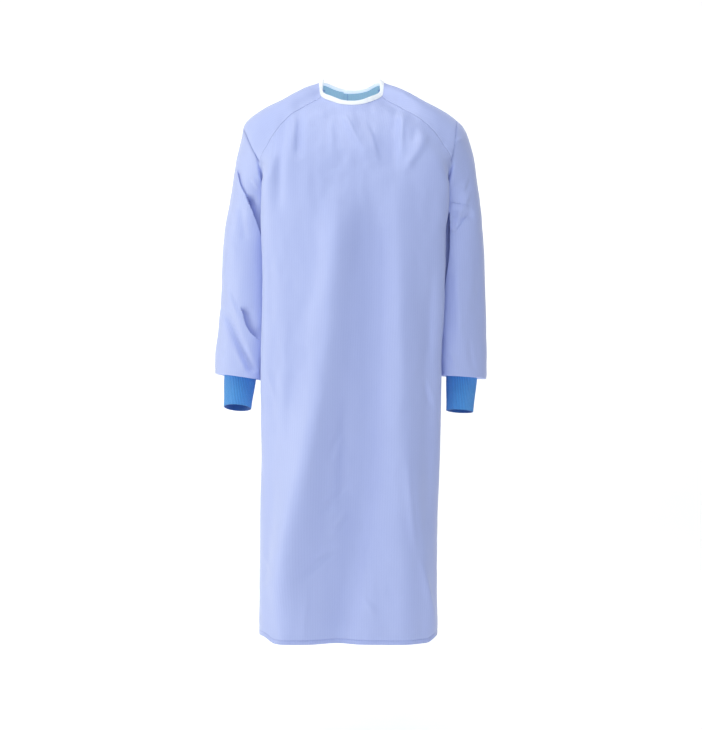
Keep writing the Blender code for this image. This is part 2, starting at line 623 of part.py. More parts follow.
def cuff(place, group):
    """A ribbed tube: ribs in its outer points, over a plain inside."""
    _, _, _, downward = cuff_frame(place)
    angles = np.linspace(0, 2 * pi, 2 * RIBS, endpoint=False)
    ribs = np.where(np.arange(2 * RIBS) % 2 == 0, 0.0, -RIB_DEPTH)
    top, bottom, length = (CUFFS[name][place] for name in ("top", "bottom", "length"))
    rings = []
    for reach in (-CUFF_TUCK, *(share * length for share in CUFF_RINGS)):
        radius = top + (bottom - top) * smooth(reach / length)
        rings.append(cuff_ring(place, radius + ribs, angles) + downward * reach)
    for reach, radius in ((length, bottom), (-CUFF_TUCK, top)):
        inside = radius - RIB_DEPTH - KNIT
        rings.append(cuff_ring(place, np.full(2 * RIBS, inside), angles) + downward * reach)
    size = 2 * RIBS
    points = [point for ring in rings for point in ring]
    faces = []
    for k in range(len(rings)):
        for j in range(size):
            a, b = k * size + j, k * size + (j + 1) % size
            below = (k + 1) % len(rings) * size
            faces.append([below + j, below + (j + 1) % size, b, a])
    add_object("cuff_" + CUFFS["name"][place], points, faces, "knit", group)


def disc(name, centre, normal, radius, depth, crown, group):
    """A flat round piece of a press stud, its base at the centre and its crown outwards."""
    shape = bmesh.new()
    bmesh.ops.create_cone(shape, cap_ends=True, segments=STUD_SIDES, radius1=radius,
                          radius2=radius * crown, depth=depth)
    turn = Vector((0, 0, 1)).rotation_difference(Vector(normal)).to_matrix()
    bmesh.ops.rotate(shape, cent=(0, 0, 0), matrix=turn, verts=shape.verts)
    bmesh.ops.translate(shape, vec=Vector(centre + normal * depth / 2), verts=shape.verts)
    mesh = bpy.data.meshes.new(name)
    shape.to_mesh(mesh)
    shape.free()
    mesh.materials.append(material("stud"))
    made = bpy.data.objects.new(name, mesh)
    group.objects.link(made)


def surface_point(piece, face, down_row, x):
    """Point and normal on a piece at a row, where it crosses x."""
    row, normal = piece[face][down_row], piece["normal"][down_row]
    order = np.argsort(row[:, 0])
    place = [np.interp(x, row[order, 0], row[order, axis]) for axis in range(3)]
    out = [np.interp(x, row[order, 0], normal[order, axis]) for axis in range(3)]
    return np.array(place), unit(np.array(out))


def press_studs(pieces, group):
    """Cap on the upper layer, stud between the layers and rivet inside the under layer."""
    levels = body_levels()
    for name, down in zip(STUDS["name"], STUDS["down"]):
        row = int(np.argmin(np.abs(levels - down)))
        middle = (read(OVERLAP, "down", down, "upper") - read(OVERLAP, "down", down, "under")) / 2
        upper, out = surface_point(pieces["back_right"], "outer", row, middle)
        below = upper - out * (CLOTH + SEAM_GAP)
        disc(f"snap_{name}_cap", upper + out * SEAM_GAP, out, STUD_RADIUS, STUD_CAP, STUD_CROWN, group)
        gap = LAYER_STEP - CLOTH - 2 * SEAM_GAP - STUD_EASE
        below = below - out * STUD_EASE
        disc(f"snap_{name}_stud", below, -out, STUD_RADIUS * STUD_POST, gap, 1.0, group)
        inside = upper - out * (LAYER_STEP + CLOTH + SEAM_GAP + STUD_EASE)
        disc(f"snap_{name}_rivet", inside, -out, STUD_RADIUS * STUD_RIVET, STUD_CAP, STUD_CROWN, group)


def build():
    for thing in list(bpy.data.objects):
        bpy.data.objects.remove(thing)
    group = bpy.data.collections.new(COLLECTION)
    bpy.context.scene.collection.children.link(group)
    pieces = gown_pieces()
    for name, piece in pieces.items():
        points, faces = wall(piece["outer"], piece["inner"], piece["closed"])
        add_object(name, points, faces, "cloth", group)
    binding(pieces, group)
    for place in range(len(CUFFS["name"])):
        cuff(place, group)
    press_studs(pieces, group)


build()
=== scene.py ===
# %% [markdown]
# # A cover gown
# A long medical gown hangs on its wearer by the neck. It is cut from five pieces of thin woven
# cloth: a front, two halves of a back that lap over each other, and two raglan sleeves. Knit cuffs
# close the wrists and a white tape binds the neck. The file builds each piece in the order in which
# a maker would sew it, and then gives each its finish, the light and the camera.
#
# ## The frame
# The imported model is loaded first. It gives every piece its place, and nothing below moves it.

# %% Load the frame
from math import atan2, cos, pi, radians, sin, tan
import bpy
import numpy as np
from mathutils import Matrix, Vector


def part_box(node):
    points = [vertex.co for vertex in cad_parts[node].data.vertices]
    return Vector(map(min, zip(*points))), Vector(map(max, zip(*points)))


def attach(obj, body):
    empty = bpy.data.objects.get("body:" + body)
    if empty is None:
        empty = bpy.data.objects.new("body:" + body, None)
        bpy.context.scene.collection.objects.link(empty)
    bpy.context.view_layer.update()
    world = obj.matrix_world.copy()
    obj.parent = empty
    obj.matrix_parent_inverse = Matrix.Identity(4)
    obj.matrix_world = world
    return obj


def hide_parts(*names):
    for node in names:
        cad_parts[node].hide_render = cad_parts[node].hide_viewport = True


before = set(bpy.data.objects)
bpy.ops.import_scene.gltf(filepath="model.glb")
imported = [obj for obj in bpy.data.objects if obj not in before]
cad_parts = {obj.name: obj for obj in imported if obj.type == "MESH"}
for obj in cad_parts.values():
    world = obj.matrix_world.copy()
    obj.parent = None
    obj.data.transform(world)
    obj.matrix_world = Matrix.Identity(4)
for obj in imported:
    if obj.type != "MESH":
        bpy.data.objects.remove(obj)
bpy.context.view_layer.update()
print("nodes:", ", ".join(sorted(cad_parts)))

# %% [markdown]
# ## The camera
# The picture is 702 by 730 pixels. A lens this long, 3.2 m away and level with the middle of the
# gown, sees the garment almost flat, as a studio photograph of clothes does.

# %% Camera
CAMERA_PLACE = (0.0, -3.2, -0.603)
CAMERA_LENS = 74.07


def add_object(name, data):
    """A new object in the scene, made of this mesh, light or camera."""
    made = bpy.data.objects.new(name, data)
    bpy.context.scene.collection.objects.link(made)
    return made


camera = add_object("camera", bpy.data.cameras.new("camera"))
camera.location = CAMERA_PLACE
camera.rotation_euler = (radians(90), 0, 0)
camera.data.lens = CAMERA_LENS
bpy.context.scene.camera = camera
print("camera at", CAMERA_PLACE, "lens", CAMERA_LENS)

# %% [markdown]
# ## The pattern of the gown
# A garment on a body is a set of sections: for each distance down from the neckline, a few points
# that a soft curve joins. These tables say where the points are, in metres. Modelling by sections
# keeps the form easy to change, where a sculpted mesh would hide its sizes.

# %% Sizes of the gown
SEAM_GAP = 0.0002           # between the edges of two pieces at a seam
HEM_Z = -1.175
UNDERARM_DOWN = 0.335       # from the neckline along the raglan seam to the underarm
SLEEVE_END_DOWN = 0.742     # and along the sleeve to its end
GROOVE_FROM, GROOVE_TO = 0.15, 0.23     # levels between which the sleeve turns off the body
BESIDE_FROM = 0.25          # level from which the sides of the body start to face sideways
SLEEVE_SETTLE = 0.06        # length below the underarm in which the sleeve's inner line settles
SLEEVE_CLOSE = 0.10         # length below the underarm in which its two edges come to meet flat
FULLER_FROM, FULLER_TO = 0.19, 0.29     # levels between which the sleeve grows fuller beside the body
FULLER = (-0.0095, -0.0135, 0.0)        # how far that moves the cloth there
SLEEVE_END_SLOPE = 6        # degrees by which the sleeves' ends drop further towards +X
SLEEVE_END_SPAN = 0.060     # length of sleeve over which that slope grows
BETWEEN_X = (0.53, 0.73)    # share of the corner's half width, at the neck and from the chest down
BETWEEN_Y = 0.74            # and share of the way from the corner to the centre in depth
CHEST_DOWN = 0.12           # level at which the chest begins
BINDING_HEIGHT = 0.0105     # height of the tape round the neck
LAYER_STEP = 0.0046         # how far the under layer of the back lies inside the upper one
LAYER_EASE = 0.020          # width of cloth in which it gets there
CUFF_TUCK = 0.005           # how far the cuff runs up inside the end of the sleeve
CUFF_X, CUFF_Y, CUFF_Z = 0.2355, -0.005, -0.628     # middle of the cuff's top
CUFF_SLOPE = 4              # degrees by which the cuffs' rings drop towards +X


def table(columns, *rows):
    """A table with named columns, and a row for each section or fold."""
    return {name: [row[place] for row in rows] for place, name in enumerate(columns)}


def grouped(columns, *groups):
    """A table whose rows are given in groups: the values that a group shares, then its rows."""
    return table(columns, *((*shared, *row) for *shared, rows in groups for row in rows))


# The front of the body, half of it: the raglan and side seam, the corner where the front turns
# to the side, and the centre line
FRONT = table(
    ("down", "side_x", "side_y", "side_z", "corner_x", "corner_y", "corner_z", "mid_y", "mid_z"),
    (0.000, 0.0592, -0.031, -0.0285, 0.0400, -0.052, -0.0412, -0.064, -0.0525),
    (0.012, 0.0645, -0.0365, -0.0380, 0.0460, -0.055, -0.0507, -0.0713, -0.0620),
    (0.050, 0.097, -0.054, -0.060, 0.072, -0.070, -0.070, -0.079, -0.080),
    (0.105, 0.139, -0.074, -0.089, 0.107, -0.088, -0.097, -0.095, -0.108),
    (0.140, 0.161, -0.081, -0.112, 0.128, -0.098, -0.119, -0.106, -0.130),
    (0.180, 0.184, -0.083, -0.147, 0.151, -0.107, -0.152, -0.117, -0.159),
    (0.210, 0.198, -0.078, -0.174, 0.171, -0.109, -0.178, -0.123, -0.184),
    (0.275, 0.188, -0.043, -0.230, 0.192, -0.096, -0.231, -0.130, -0.232),
    (0.335, 0.173, 0.000, -0.270, 0.193, -0.091, -0.270, -0.133, -0.270),
    (0.395, 0.168, 0.002, -0.330, 0.190, -0.092, -0.330, -0.135, -0.330),
    (0.485, 0.167, 0.004, -0.420, 0.187, -0.094, -0.420, -0.136, -0.420),
    (0.665, 0.168, 0.004, -0.600, 0.185, -0.094, -0.600, -0.136, -0.600),
    (0.785, 0.179, 0.003, -0.720, 0.184, -0.085, -0.720, -0.135, -0.720),
    (0.965, 0.185, 0.002, -0.900, 0.178, -0.083, -0.900, -0.133, -0.900),
    (1.240, 0.185, 0.000, HEM_Z, 0.176, -0.092, HEM_Z, -0.132, HEM_Z),
)
# The back of the body, the same way
BACK = table(
    ("down", "side_x", "side_y", "side_z", "corner_x", "corner_y", "corner_z", "mid_y", "mid_z"),
    (0.000, 0.0530, 0.036, 0.0030, 0.0375, 0.0525, -0.0008, 0.064, -0.006),
    (0.012, 0.0600, 0.043, -0.0050, 0.0440, 0.060, -0.0095, 0.071, -0.0155),
    (0.050, 0.092, 0.062, -0.028, 0.068, 0.078, -0.030, 0.088, -0.034),
    (0.105, 0.131, 0.083, -0.061, 0.102, 0.099, -0.064, 0.107, -0.069),
    (0.140, 0.152, 0.090, -0.088, 0.122, 0.107, -0.092, 0.115, -0.097),
    (0.180, 0.174, 0.090, -0.127, 0.146, 0.112, -0.131, 0.122, -0.136),
    (0.210, 0.187, 0.083, -0.162, 0.165, 0.111, -0.166, 0.126, -0.170),
    (0.275, 0.186, 0.043, -0.227, 0.184, 0.094, -0.228, 0.130, -0.229),
    (0.335, 0.173, 0.000, -0.270, 0.184, 0.088, -0.270, 0.131, -0.270),
    (0.395, 0.168, 0.002, -0.330, 0.182, 0.087, -0.330, 0.130, -0.330),
    (0.485, 0.167, 0.004, -0.420, 0.179, 0.086, -0.420, 0.127, -0.420),
    (0.665, 0.168, 0.004, -0.600, 0.178, 0.086, -0.600, 0.124, -0.600),
    (0.785, 0.178, 0.003, -0.720, 0.178, 0.080, -0.720, 0.124, -0.720),
    (0.965, 0.185, 0.002, -0.900, 0.176, 0.080, -0.900, 0.127, -0.900),
    (1.240, 0.185, 0.000, HEM_Z, 0.173, 0.082, HEM_Z, 0.131, HEM_Z),
)
# A sleeve: its outer line, which is the shoulder's ridge higher up, the middle of the section,
# half its depth front to back, and how far the section leans forward in degrees
SLEEVE = table(
    ("down", "outer_x", "outer_z", "mid_x", "mid_z", "y", "half_depth", "lean"),
    (0.000, 0.0605, 0.0052, 0.0610, -0.0060, 0.002, 0.0205, -22),
    (0.012, 0.0692, -0.0010, 0.0680, -0.0120, 0.002, 0.0250, -17),
    (0.050, 0.103, -0.0135, 0.101, -0.024, 0.003, 0.038, -6),
    (0.105, 0.150, -0.0385, 0.146, -0.052, 0.004, 0.056, -3),
    (0.140, 0.185, -0.058, 0.178, -0.078, 0.004, 0.063, -2),
    (0.180, 0.216, -0.077, 0.204, -0.103, 0.004, 0.063, -1),
    (0.210, 0.234, -0.097, 0.219, -0.128, 0.003, 0.061, 0),
    (0.235, 0.242, -0.124, 0.2235, -0.155, 0.003, 0.061, 0),
    (0.275, 0.252, -0.165, 0.2245, -0.200, 0.003, 0.062, 0),
    (0.335, 0.262, -0.232, 0.2175, -0.251, 0.003, 0.063, 0),
    (0.395, 0.272, -0.298, 0.2275, -0.306, 0.004, 0.063, 0),
    (0.470, 0.279, -0.375, 0.231, -0.378, 0.005, 0.062, 2),
    (0.555, 0.282, -0.460, 0.232, -0.460, 0.005, 0.061, 6),
    (0.630, 0.2855, -0.533, 0.2325, -0.533, 0.003, 0.061, 9),
    (0.695, 0.289, -0.589, 0.235, -0.591, 0.000, 0.060, 8),
    (0.725, 0.2890, -0.607, 0.237, -0.609, -0.002, 0.058, 4),
    (0.742, 0.2885, -0.619, 0.238, -0.621, -0.004, 0.056, 2),
)
# The sleeve's end laps over the cuff: share of the way in to the cuff, and how far down
SLEEVE_END = table(
    ("way", "inward", "down"),
    (0.00, 0.000, 0.0000), (0.15, 0.004, 0.0030), (0.30, 0.012, 0.0058), (0.40, 0.030, 0.0074),
    (0.48, 0.070, 0.0080), (0.58, 0.160, 0.0068), (0.75, 0.450, 0.0035), (0.90, 0.800, 0.0010),
    (1.00, 1.000, 0.0000),
)
# The gown hangs a little askew: how far each height is moved to +X
SWAY = table(
    ("z", "x"),
    (-1.175, -0.006), (-0.950, -0.005), (-0.850, -0.002), (-0.740, 0.000), (-0.600, 0.000),
    (-0.500, 0.004), (-0.400, 0.0055), (-0.320, 0.0055), (-0.250, 0.0085), (-0.170, 0.0095),
    (-0.120, 0.0080), (-0.090, 0.0040), (-0.060, 0.0015), (-0.020, 0.0010), (0.000, 0.0010),
)
# The free edges of the back: how far each runs past the centre line
OVERLAP = table(
    ("down", "under", "upper"),
    (0.000, 0.017, 0.034), (0.200, 0.022, 0.040), (0.600, 0.036, 0.056), (1.240, 0.055, 0.075),
)
# The cuffs: lean forward in degrees, length below the sleeve, radius at top and bottom
CUFFS = table(
    ("name", "side", "lean", "length", "top", "bottom"),
    ("right", -1, 16, 0.068, 0.0335, 0.0290),
    ("left", 1, 9, 0.074, 0.0325, 0.0285),
)
print("sections:", len(FRONT["down"]), "front,", len(BACK["down"]), "back,", len(SLEEVE["down"]), "sleeve")

# %% [markdown]
# ## Folds and creases
# Worn cloth has a few broad folds, which run from where it is held to where it hangs free, and many
# smaller creases across them. Both are lines on the garment seen from the front or the back, each
# with its own width on either side: a crease with one short side looks crisp, and one with two long
# sides looks soft. Placing them as listed lines gives the same gown each time, which a cloth simulation on
# a form this large would not.

# %% Broad folds
# Each line is drawn downwards: left and right are the widths on its -X and +X side, and bow is how
# far its middle bends towards -X. Face is -1 in front and 1 at the back. Fade is the share of a
# fold's length in which it grows at its top and dies away at its foot.
FOLDS = table(
    ("name", "face", "x0", "z0", "x1", "z1", "bow", "left", "right", "height", "fade"),
    ("long ridge, right", -1, -0.0189, -0.215, -0.1662, -1.150, -0.0239, 0.036, 0.042, 0.0205, 0.15),
    ("long ridge, right, low", -1, -0.0587, -0.620, -0.1380, -1.420, 0.0316, 0.034, 0.040, 0.0110, 0.25),
    ("long trough", -1, 0.0468, -0.215, -0.0970, -1.450, -0.0535, 0.042, 0.030, -0.0138, 0.12),
    ("long trough, low", -1, 0.0473, -0.620, -0.0884, -1.420, -0.0226, 0.042, 0.040, -0.0070, 0.35),
    ("long ridge, left", -1, 0.088, -0.200, 0.122, -1.300, 0.000, 0.034, 0.034, 0.011, 0.22),
    ("trough by the left side", -1, 0.158, -0.400, 0.164, -0.960, 0.000, 0.020, 0.020, -0.006, 0.22),
    ("hem ridge at the left", -1, 0.118, -0.780, 0.170, -1.200, 0.000, 0.015, 0.015, 0.004, 0.22),
    ("trough by the right side", -1, -0.163, -0.500, -0.168, -1.300, 0.000, 0.018, 0.018, -0.005, 0.22),
    ("chest trough, right, outer", -1, -0.136, -0.055, -0.154, -0.310, 0.000, 0.012, 0.012, -0.005, 0.22),
    ("chest trough, right, inner", -1, -0.104, -0.062, -0.109, -0.190, 0.000, 0.009, 0.009, -0.0045, 0.30),
    ("chest ridge, middle", -1, -0.014, -0.070, 0.045, -0.185, 0.000, 0.014, 0.014, 0.003, 0.22),
    ("chest ridge, left", -1, 0.112, -0.068, 0.100, -0.190, 0.000, 0.010, 0.010, 0.0012, 0.22),
    ("chest ridge, left, outer", -1, 0.160, -0.115, 0.106, -0.205, 0.000, 0.010, 0.010, 0.002, 0.22),
    ("elbow trough, right", -1, -0.233, -0.262, -0.222, -0.350, 0.000, 0.009, 0.009, -0.003, 0.22),
    ("forearm trough, right", -1, -0.272, -0.480, -0.194, -0.640, 0.000, 0.010, 0.010, -0.006, 0.22),
    ("elbow trough, left", -1, 0.202, -0.300, 0.262, -0.285, 0.000, 0.012, 0.012, -0.006, 0.22),
    ("forearm ridge, left", -1, 0.222, -0.340, 0.236, -0.610, 0.000, 0.018, 0.018, 0.005, 0.22),
    ("back ridge, right", 1, -0.085, -0.180, -0.105, -1.300, 0.000, 0.034, 0.034, 0.010, 0.22),
    ("back trough, right", 1, -0.135, -0.260, -0.150, -1.300, 0.000, 0.026, 0.026, -0.008, 0.22),
    ("back trough, left", 1, 0.110, -0.220, 0.128, -1.300, 0.000, 0.030, 0.030, -0.009, 0.22),
    ("back ridge, left", 1, 0.150, -0.300, 0.162, -1.300, 0.000, 0.024, 0.024, 0.007, 0.22),
    ("sleeve back trough, right", 1, -0.200, -0.280, -0.262, -0.360, 0.000, 0.014, 0.014, -0.006, 0.22),
    ("sleeve back trough, left", 1, 0.205, -0.330, 0.262, -0.270, 0.000, 0.014, 0.014, -0.006, 0.22),
)
FACING = (0.05, 0.50)       # how far a surface faces the fold's side before it takes none, or all
print(len(FOLDS["name"]), "broad folds")

# %% Small creases
# The lines are drawn as those of the broad folds, but each creases one piece only
CREASES = grouped(
    ("piece", "face", "x0", "z0", "x1", "z1", "bow", "left", "right", "height"),
    ("front_panel", -1, (
        # chest
        (-0.141, -0.090, -0.154, -0.260, 0.002, 0.0080, 0.0080, -0.0024),
        (-0.107, -0.074, -0.111, -0.176, 0.000, 0.0060, 0.0045, -0.0018),
        (-0.040, -0.090, -0.036, -0.180, 0.002, 0.0080, 0.0070, 0.0016),
        (-0.016, -0.074, 0.026, -0.160, 0.003, 0.0090, 0.0050, 0.0026),
        (0.028, -0.096, 0.056, -0.192, -0.003, 0.0110, 0.0055, 0.0030),
        (0.092, -0.045, 0.088, -0.215, 0.000, 0.0360, 0.0085, -0.0070),
        (0.109, -0.070, 0.104, -0.170, 0.002, 0.0070, 0.0050, 0.0020),
        (0.134, -0.104, 0.128, -0.150, 0.000, 0.0060, 0.0080, -0.0016),
        (0.160, -0.124, 0.100, -0.216, -0.004, 0.0070, 0.0070, 0.0022),
        (-0.090, -0.150, -0.080, -0.330, 0.004, 0.0150, 0.0110, 0.0016),
        (0.020, -0.210, 0.034, -0.420, -0.004, 0.0130, 0.0150, 0.0014),
        # waist and sides
        (0.171, -0.360, 0.166, -0.640, 0.002, 0.0100, 0.0060, -0.0022),
        (0.152, -0.624, 0.172, -0.700, 0.001, 0.0080, 0.0050, -0.0028),
        (0.156, -0.630, 0.178, -0.692, -0.002, 0.0045, 0.0040, 0.0014),
        (-0.172, -0.320, -0.164, -0.560, -0.003, 0.0070, 0.0120, -0.0018),
        (-0.176, -0.600, -0.150, -0.690, 0.003, 0.0060, 0.0080, 0.0020),
        (-0.128, -0.420, -0.138, -0.760, 0.004, 0.0140, 0.0100, 0.0016),
        (0.070, -0.330, 0.078, -0.640, -0.003, 0.0120, 0.0140, -0.0015),
        # skirt
        (-0.012, -0.650, -0.026, -0.925, -0.003, 0.0100, 0.0200, -0.0055),
        (-0.012, -0.726, -0.046, -0.810, 0.004, 0.0080, 0.0060, -0.0030),
        (-0.004, -0.850, -0.062, -0.915, 0.003, 0.0090, 0.0055, -0.0042),
        (-0.002, -0.894, -0.050, -0.956, -0.003, 0.0070, 0.0060, 0.0032),
        (-0.010, -0.962, -0.126, -1.064, 0.007, 0.0110, 0.0060, -0.0046),
        (0.112, -0.780, 0.134, -1.015, 0.004, 0.0080, 0.0050, 0.0034),
        (0.134, -0.985, 0.174, -1.152, -0.002, 0.0075, 0.0050, 0.0034),
        (-0.184, -1.078, -0.150, -1.036, 0.000, 0.0070, 0.0070, 0.0020),
        (-0.184, -0.984, -0.150, -1.030, 0.002, 0.0060, 0.0080, 0.0018),
        (0.020, -1.074, 0.052, -1.108, 0.001, 0.0060, 0.0050, 0.0018),
        (-0.088, -1.020, -0.104, -1.210, -0.003, 0.0120, 0.0080, 0.0020),
        (0.052, -0.900, 0.066, -1.180, 0.004, 0.0120, 0.0140, -0.0018),
        (-0.062, -0.640, -0.094, -0.900, -0.004, 0.0150, 0.0110, 0.0018),
    )),
    # sleeve of the wearer's right arm, at the left of the picture
    ("sleeve_right", -1, (
        (-0.208, -0.208, -0.190, -0.236, 0.001, 0.0050, 0.0050, 0.0020),
        (-0.268, -0.430, -0.218, -0.530, 0.003, 0.0080, 0.0060, 0.0030),
        (-0.2884, -0.4546, -0.1944, -0.6469, 0.000, 0.0048, 0.0070, -0.0050),
        (-0.262, -0.546, -0.278, -0.592, 0.000, 0.0040, 0.0040, -0.0014),
        (-0.268, -0.300, -0.236, -0.400, -0.003, 0.0120, 0.0080, 0.0020),
        (-0.246, -0.560, -0.210, -0.626, 0.002, 0.0060, 0.0060, 0.0022),
    )),
    # sleeve of the wearer's left arm
    ("sleeve_left", -1, (
        (0.238, -0.122, 0.214, -0.142, 0.000, 0.0030, 0.0060, 0.0016),
        (0.256, -0.196, 0.238, -0.248, -0.002, 0.0050, 0.0080, -0.0022),
        (0.258, -0.226, 0.214, -0.330, 0.003, 0.0100, 0.0050, 0.0030),
        (0.206, -0.312, 0.220, -0.328, 0.001, 0.0050, 0.0050, 0.0026),
        (0.222, -0.298, 0.204, -0.294, 0.000, 0.0030, 0.0030, 0.0014),
        (0.222, -0.370, 0.232, -0.588, 0.003, 0.0100, 0.0070, 0.0024),
        (0.262, -0.380, 0.270, -0.560, -0.004, 0.0110, 0.0090, -0.0020),
        (0.246, -0.540, 0.262, -0.626, 0.002, 0.0080, 0.0060, -0.0020),
        (0.206, -0.566, 0.226, -0.628, 0.001, 0.0060, 0.0060, 0.0018),
    )),
    # the back, which has creases like those of the front
    ("back_right", 1, (
        (-0.150, -0.140, -0.110, -0.250, 0.004, 0.0100, 0.0060, 0.0028),
        (-0.070, -0.090, -0.060, -0.210, 0.002, 0.0090, 0.0090, -0.0020),
        (-0.030, -0.300, -0.042, -0.560, -0.004, 0.0140, 0.0110, 0.0018),
        (-0.160, -0.420, -0.120, -0.560, 0.005, 0.0100, 0.0060, -0.0028),
        (-0.030, -0.740, -0.086, -0.850, 0.004, 0.0090, 0.0060, -0.0028),
        (-0.040, -0.960, -0.150, -1.060, 0.006, 0.0110, 0.0070, 0.0028),
        (0.014, -0.880, 0.022, -1.140, 0.003, 0.0120, 0.0100, 0.0022),
    )),
    ("back_left", 1, (
        (0.150, -0.150, 0.108, -0.240, -0.003, 0.0070, 0.0090, 0.0026),
        (0.092, -0.100, 0.080, -0.230, 0.002, 0.0100, 0.0080, -0.0020),
        (0.160, -0.470, 0.110, -0.600, -0.004, 0.0070, 0.0100, 0.0026),
        (0.090, -0.640, 0.128, -0.800, 0.004, 0.0100, 0.0070, -0.0026),
        (0.120, -0.930, 0.166, -1.080, -0.004, 0.0090, 0.0060, 0.0026),
        (0.094, -1.000, 0.100, -1.190, 0.002, 0.0120, 0.0090, -0.0018),
    )),
    ("sleeve_right", 1, (
        (-0.224, -0.110, -0.192, -0.180, 0.002, 0.0030, 0.0110, 0.0034),
        (-0.198, -0.262, -0.256, -0.330, -0.004, 0.0050, 0.0090, -0.0036),
        (-0.196, -0.350, -0.262, -0.400, -0.003, 0.0080, 0.0050, 0.0026),
        (-0.216, -0.480, -0.262, -0.590, 0.004, 0.0080, 0.0070, -0.0026),
    )),
    ("sleeve_left", 1, (
        (0.236, -0.112, 0.204, -0.184, 0.002, 0.0110, 0.0030, 0.0034),
        (0.256, -0.250, 0.202, -0.330, 0.003, 0.0090, 0.0050, -0.0034),
        (0.200, -0.360, 0.262, -0.420, 0.003, 0.0060, 0.0080, 0.0026),
        (0.222, -0.500, 0.256, -0.600, 0.003, 0.0070, 0.0080, -0.0024),
    )),
)
print(len(CREASES["piece"]), "small creases")

# %% Laps
# Where cloth is pushed together, one side of a crease folds over the other. Each line is drawn
# downwards; over is 1 where the cloth on its +X side lies on top and -1 where that on its -X side does.
# Shade says how strongly, and how far from the line, shade is painted into the colour of the cloth under the
# upper side.
LAPS = grouped(
    ("piece", "face", "over", "height", "over_reach", "depth", "under_reach", "shade", "shade_reach", "line"),
    ("sleeve_right", -1, (
        (1, 0.0010, 0.020, 0.0040, 0.0026, 1.00, 0.0042,
         ((-0.2420, -0.0760), (-0.2226, -0.1108), (-0.2080, -0.1440), (-0.1870, -0.1850))),
        (-1, 0.0012, 0.012, 0.0026, 0.012, 0.30, 0.0060,
         ((-0.241, -0.186), (-0.2372, -0.2048), (-0.229, -0.233), (-0.217, -0.254), (-0.205, -0.278))),
        (-1, 0.0014, 0.012, 0.0110, 0.016, 0.60, 0.0110,
         ((-0.222, -0.246), (-0.210, -0.274), (-0.201, -0.298), (-0.1925, -0.323), (-0.184, -0.352))),
        (-1, 0.0012, 0.014, 0.0070, 0.018, 0.35, 0.0150,
         ((-0.232, -0.478), (-0.2261, -0.5006), (-0.2188, -0.5232), (-0.2065, -0.5403), (-0.186, -0.552))),
    )),
    ("sleeve_left", -1, (
        (-1, 0.0008, 0.016, 0.0036, 0.0026, 0.80, 0.0036,
         ((0.2235, -0.0700), (0.2207, -0.0935), (0.2174, -0.1186), (0.2144, -0.1434), (0.2105, -0.1662),
          (0.2060, -0.1880))),
        (-1, 0.0006, 0.005, 0.0010, 0.004, 0.15, 0.0020,
         ((0.2560, -0.2700), (0.2400, -0.2670), (0.2200, -0.2640), (0.2000, -0.2620))),
        (1, 0.0008, 0.006, 0.0020, 0.004, 0.15, 0.0020,
         ((0.2480, -0.2840), (0.2376, -0.2985), (0.2240, -0.3175), (0.2130, -0.3270))),
        (1, 0.0000, 0.008, 0.0260, 0.010, 1.00, 0.0100,
         ((0.2060, -0.2800), (0.2075, -0.2989), (0.2078, -0.3313), (0.2060, -0.3752), (0.2007, -0.4149),
          (0.1965, -0.4504), (0.1934, -0.5090), (0.1905, -0.5600))),
    )),
    # like ones at the back
    ("sleeve_right", 1, (
        (1, 0.0018, 0.014, 0.0034, 0.009, 0.40, 0.0030,
         ((-0.2380, -0.0860), (-0.2210, -0.1200), (-0.2040, -0.1540), (-0.1860, -0.1830))),
        (-1, 0.0016, 0.012, 0.0060, 0.014, 0.30, 0.0060,
         ((-0.2420, -0.2240), (-0.2260, -0.2580), (-0.2080, -0.2960), (-0.1900, -0.3460))),
    )),
    ("sleeve_left", 1, (
        (-1, 0.0018, 0.014, 0.0034, 0.009, 0.40, 0.0030,
         ((0.2330, -0.0840), (0.2220, -0.1180), (0.2100, -0.1500), (0.1960, -0.1820))),
        (1, 0.0014, 0.012, 0.0060, 0.014, 0.30, 0.0060,
         ((0.2520, -0.2500), (0.2340, -0.2860), (0.2160, -0.3260), (0.2020, -0.3800))),
    )),
)
print(len(LAPS["piece"]), "laps")

# %% [markdown]
# ## From sections to grids
# Each piece of cloth becomes a grid of points. A row is one section, and its columns run round the
# body or the arm. The cells are about 3 mm, fine enough for a crease of 5 mm and coarse enough to
# stay quick, and smaller beside seams and hems. Rows inside the neck binding are placed by their
# distance from the edge, so that the tape later follows them.

# %% Reading the tables
def course(t, first, last, leave, arrive):
    """Smooth way from a first value to a last one, with the slopes at which it leaves and arrives."""
    return (first * (1 + 2 * t) * (1 - t) ** 2 + leave * t * (1 - t) ** 2
            + last * t * t * (3 - 2 * t) + arrive * t * t * (t - 1))


def read(source, key, where, column):
    """Value of a column at a place in the table, on a smooth line that never overshoots."""
    x, y = np.array(source[key], float), np.array(source[column], float)
    step = np.diff(x)
    rise = np.diff(y) / step
    slope = np.zeros(len(x))
    same = rise[:-1] * rise[1:] > 0
    before, after = step[:-1] + 2 * step[1:], 2 * step[:-1] + step[1:]
    with np.errstate(divide="ignore", invalid="ignore"):
        mean = (before + after) / (before / rise[:-1] + after / rise[1:])
    slope[1:-1] = np.where(same, mean, 0.0)
    slope[0], slope[-1] = rise[0], rise[-1]
    where = np.clip(np.asarray(where, float), x[0], x[-1])
    cell = np.clip(np.searchsorted(x, where) - 1, 0, len(x) - 2)
    t = (where - x[cell]) / step[cell]
    return course(t, y[cell], y[cell + 1], slope[cell] * step[cell], slope[cell + 1] * step[cell])


def smooth(value):
    """0 below 0, 1 above 1, and an even turn between them."""
    value = np.clip(value, 0.0, 1.0)
    return value * value * (3 - 2 * value)


def ramp(value, start, end):
    """0 up to start, 1 from end on, and an even turn between them."""
    return smooth((value - start) / (end - start))


def unit(vectors):
    """The same directions, each 1 long."""
    length = np.linalg.norm(vectors, axis=-1, keepdims=True)
    return vectors / np.maximum(length, 1e-12)


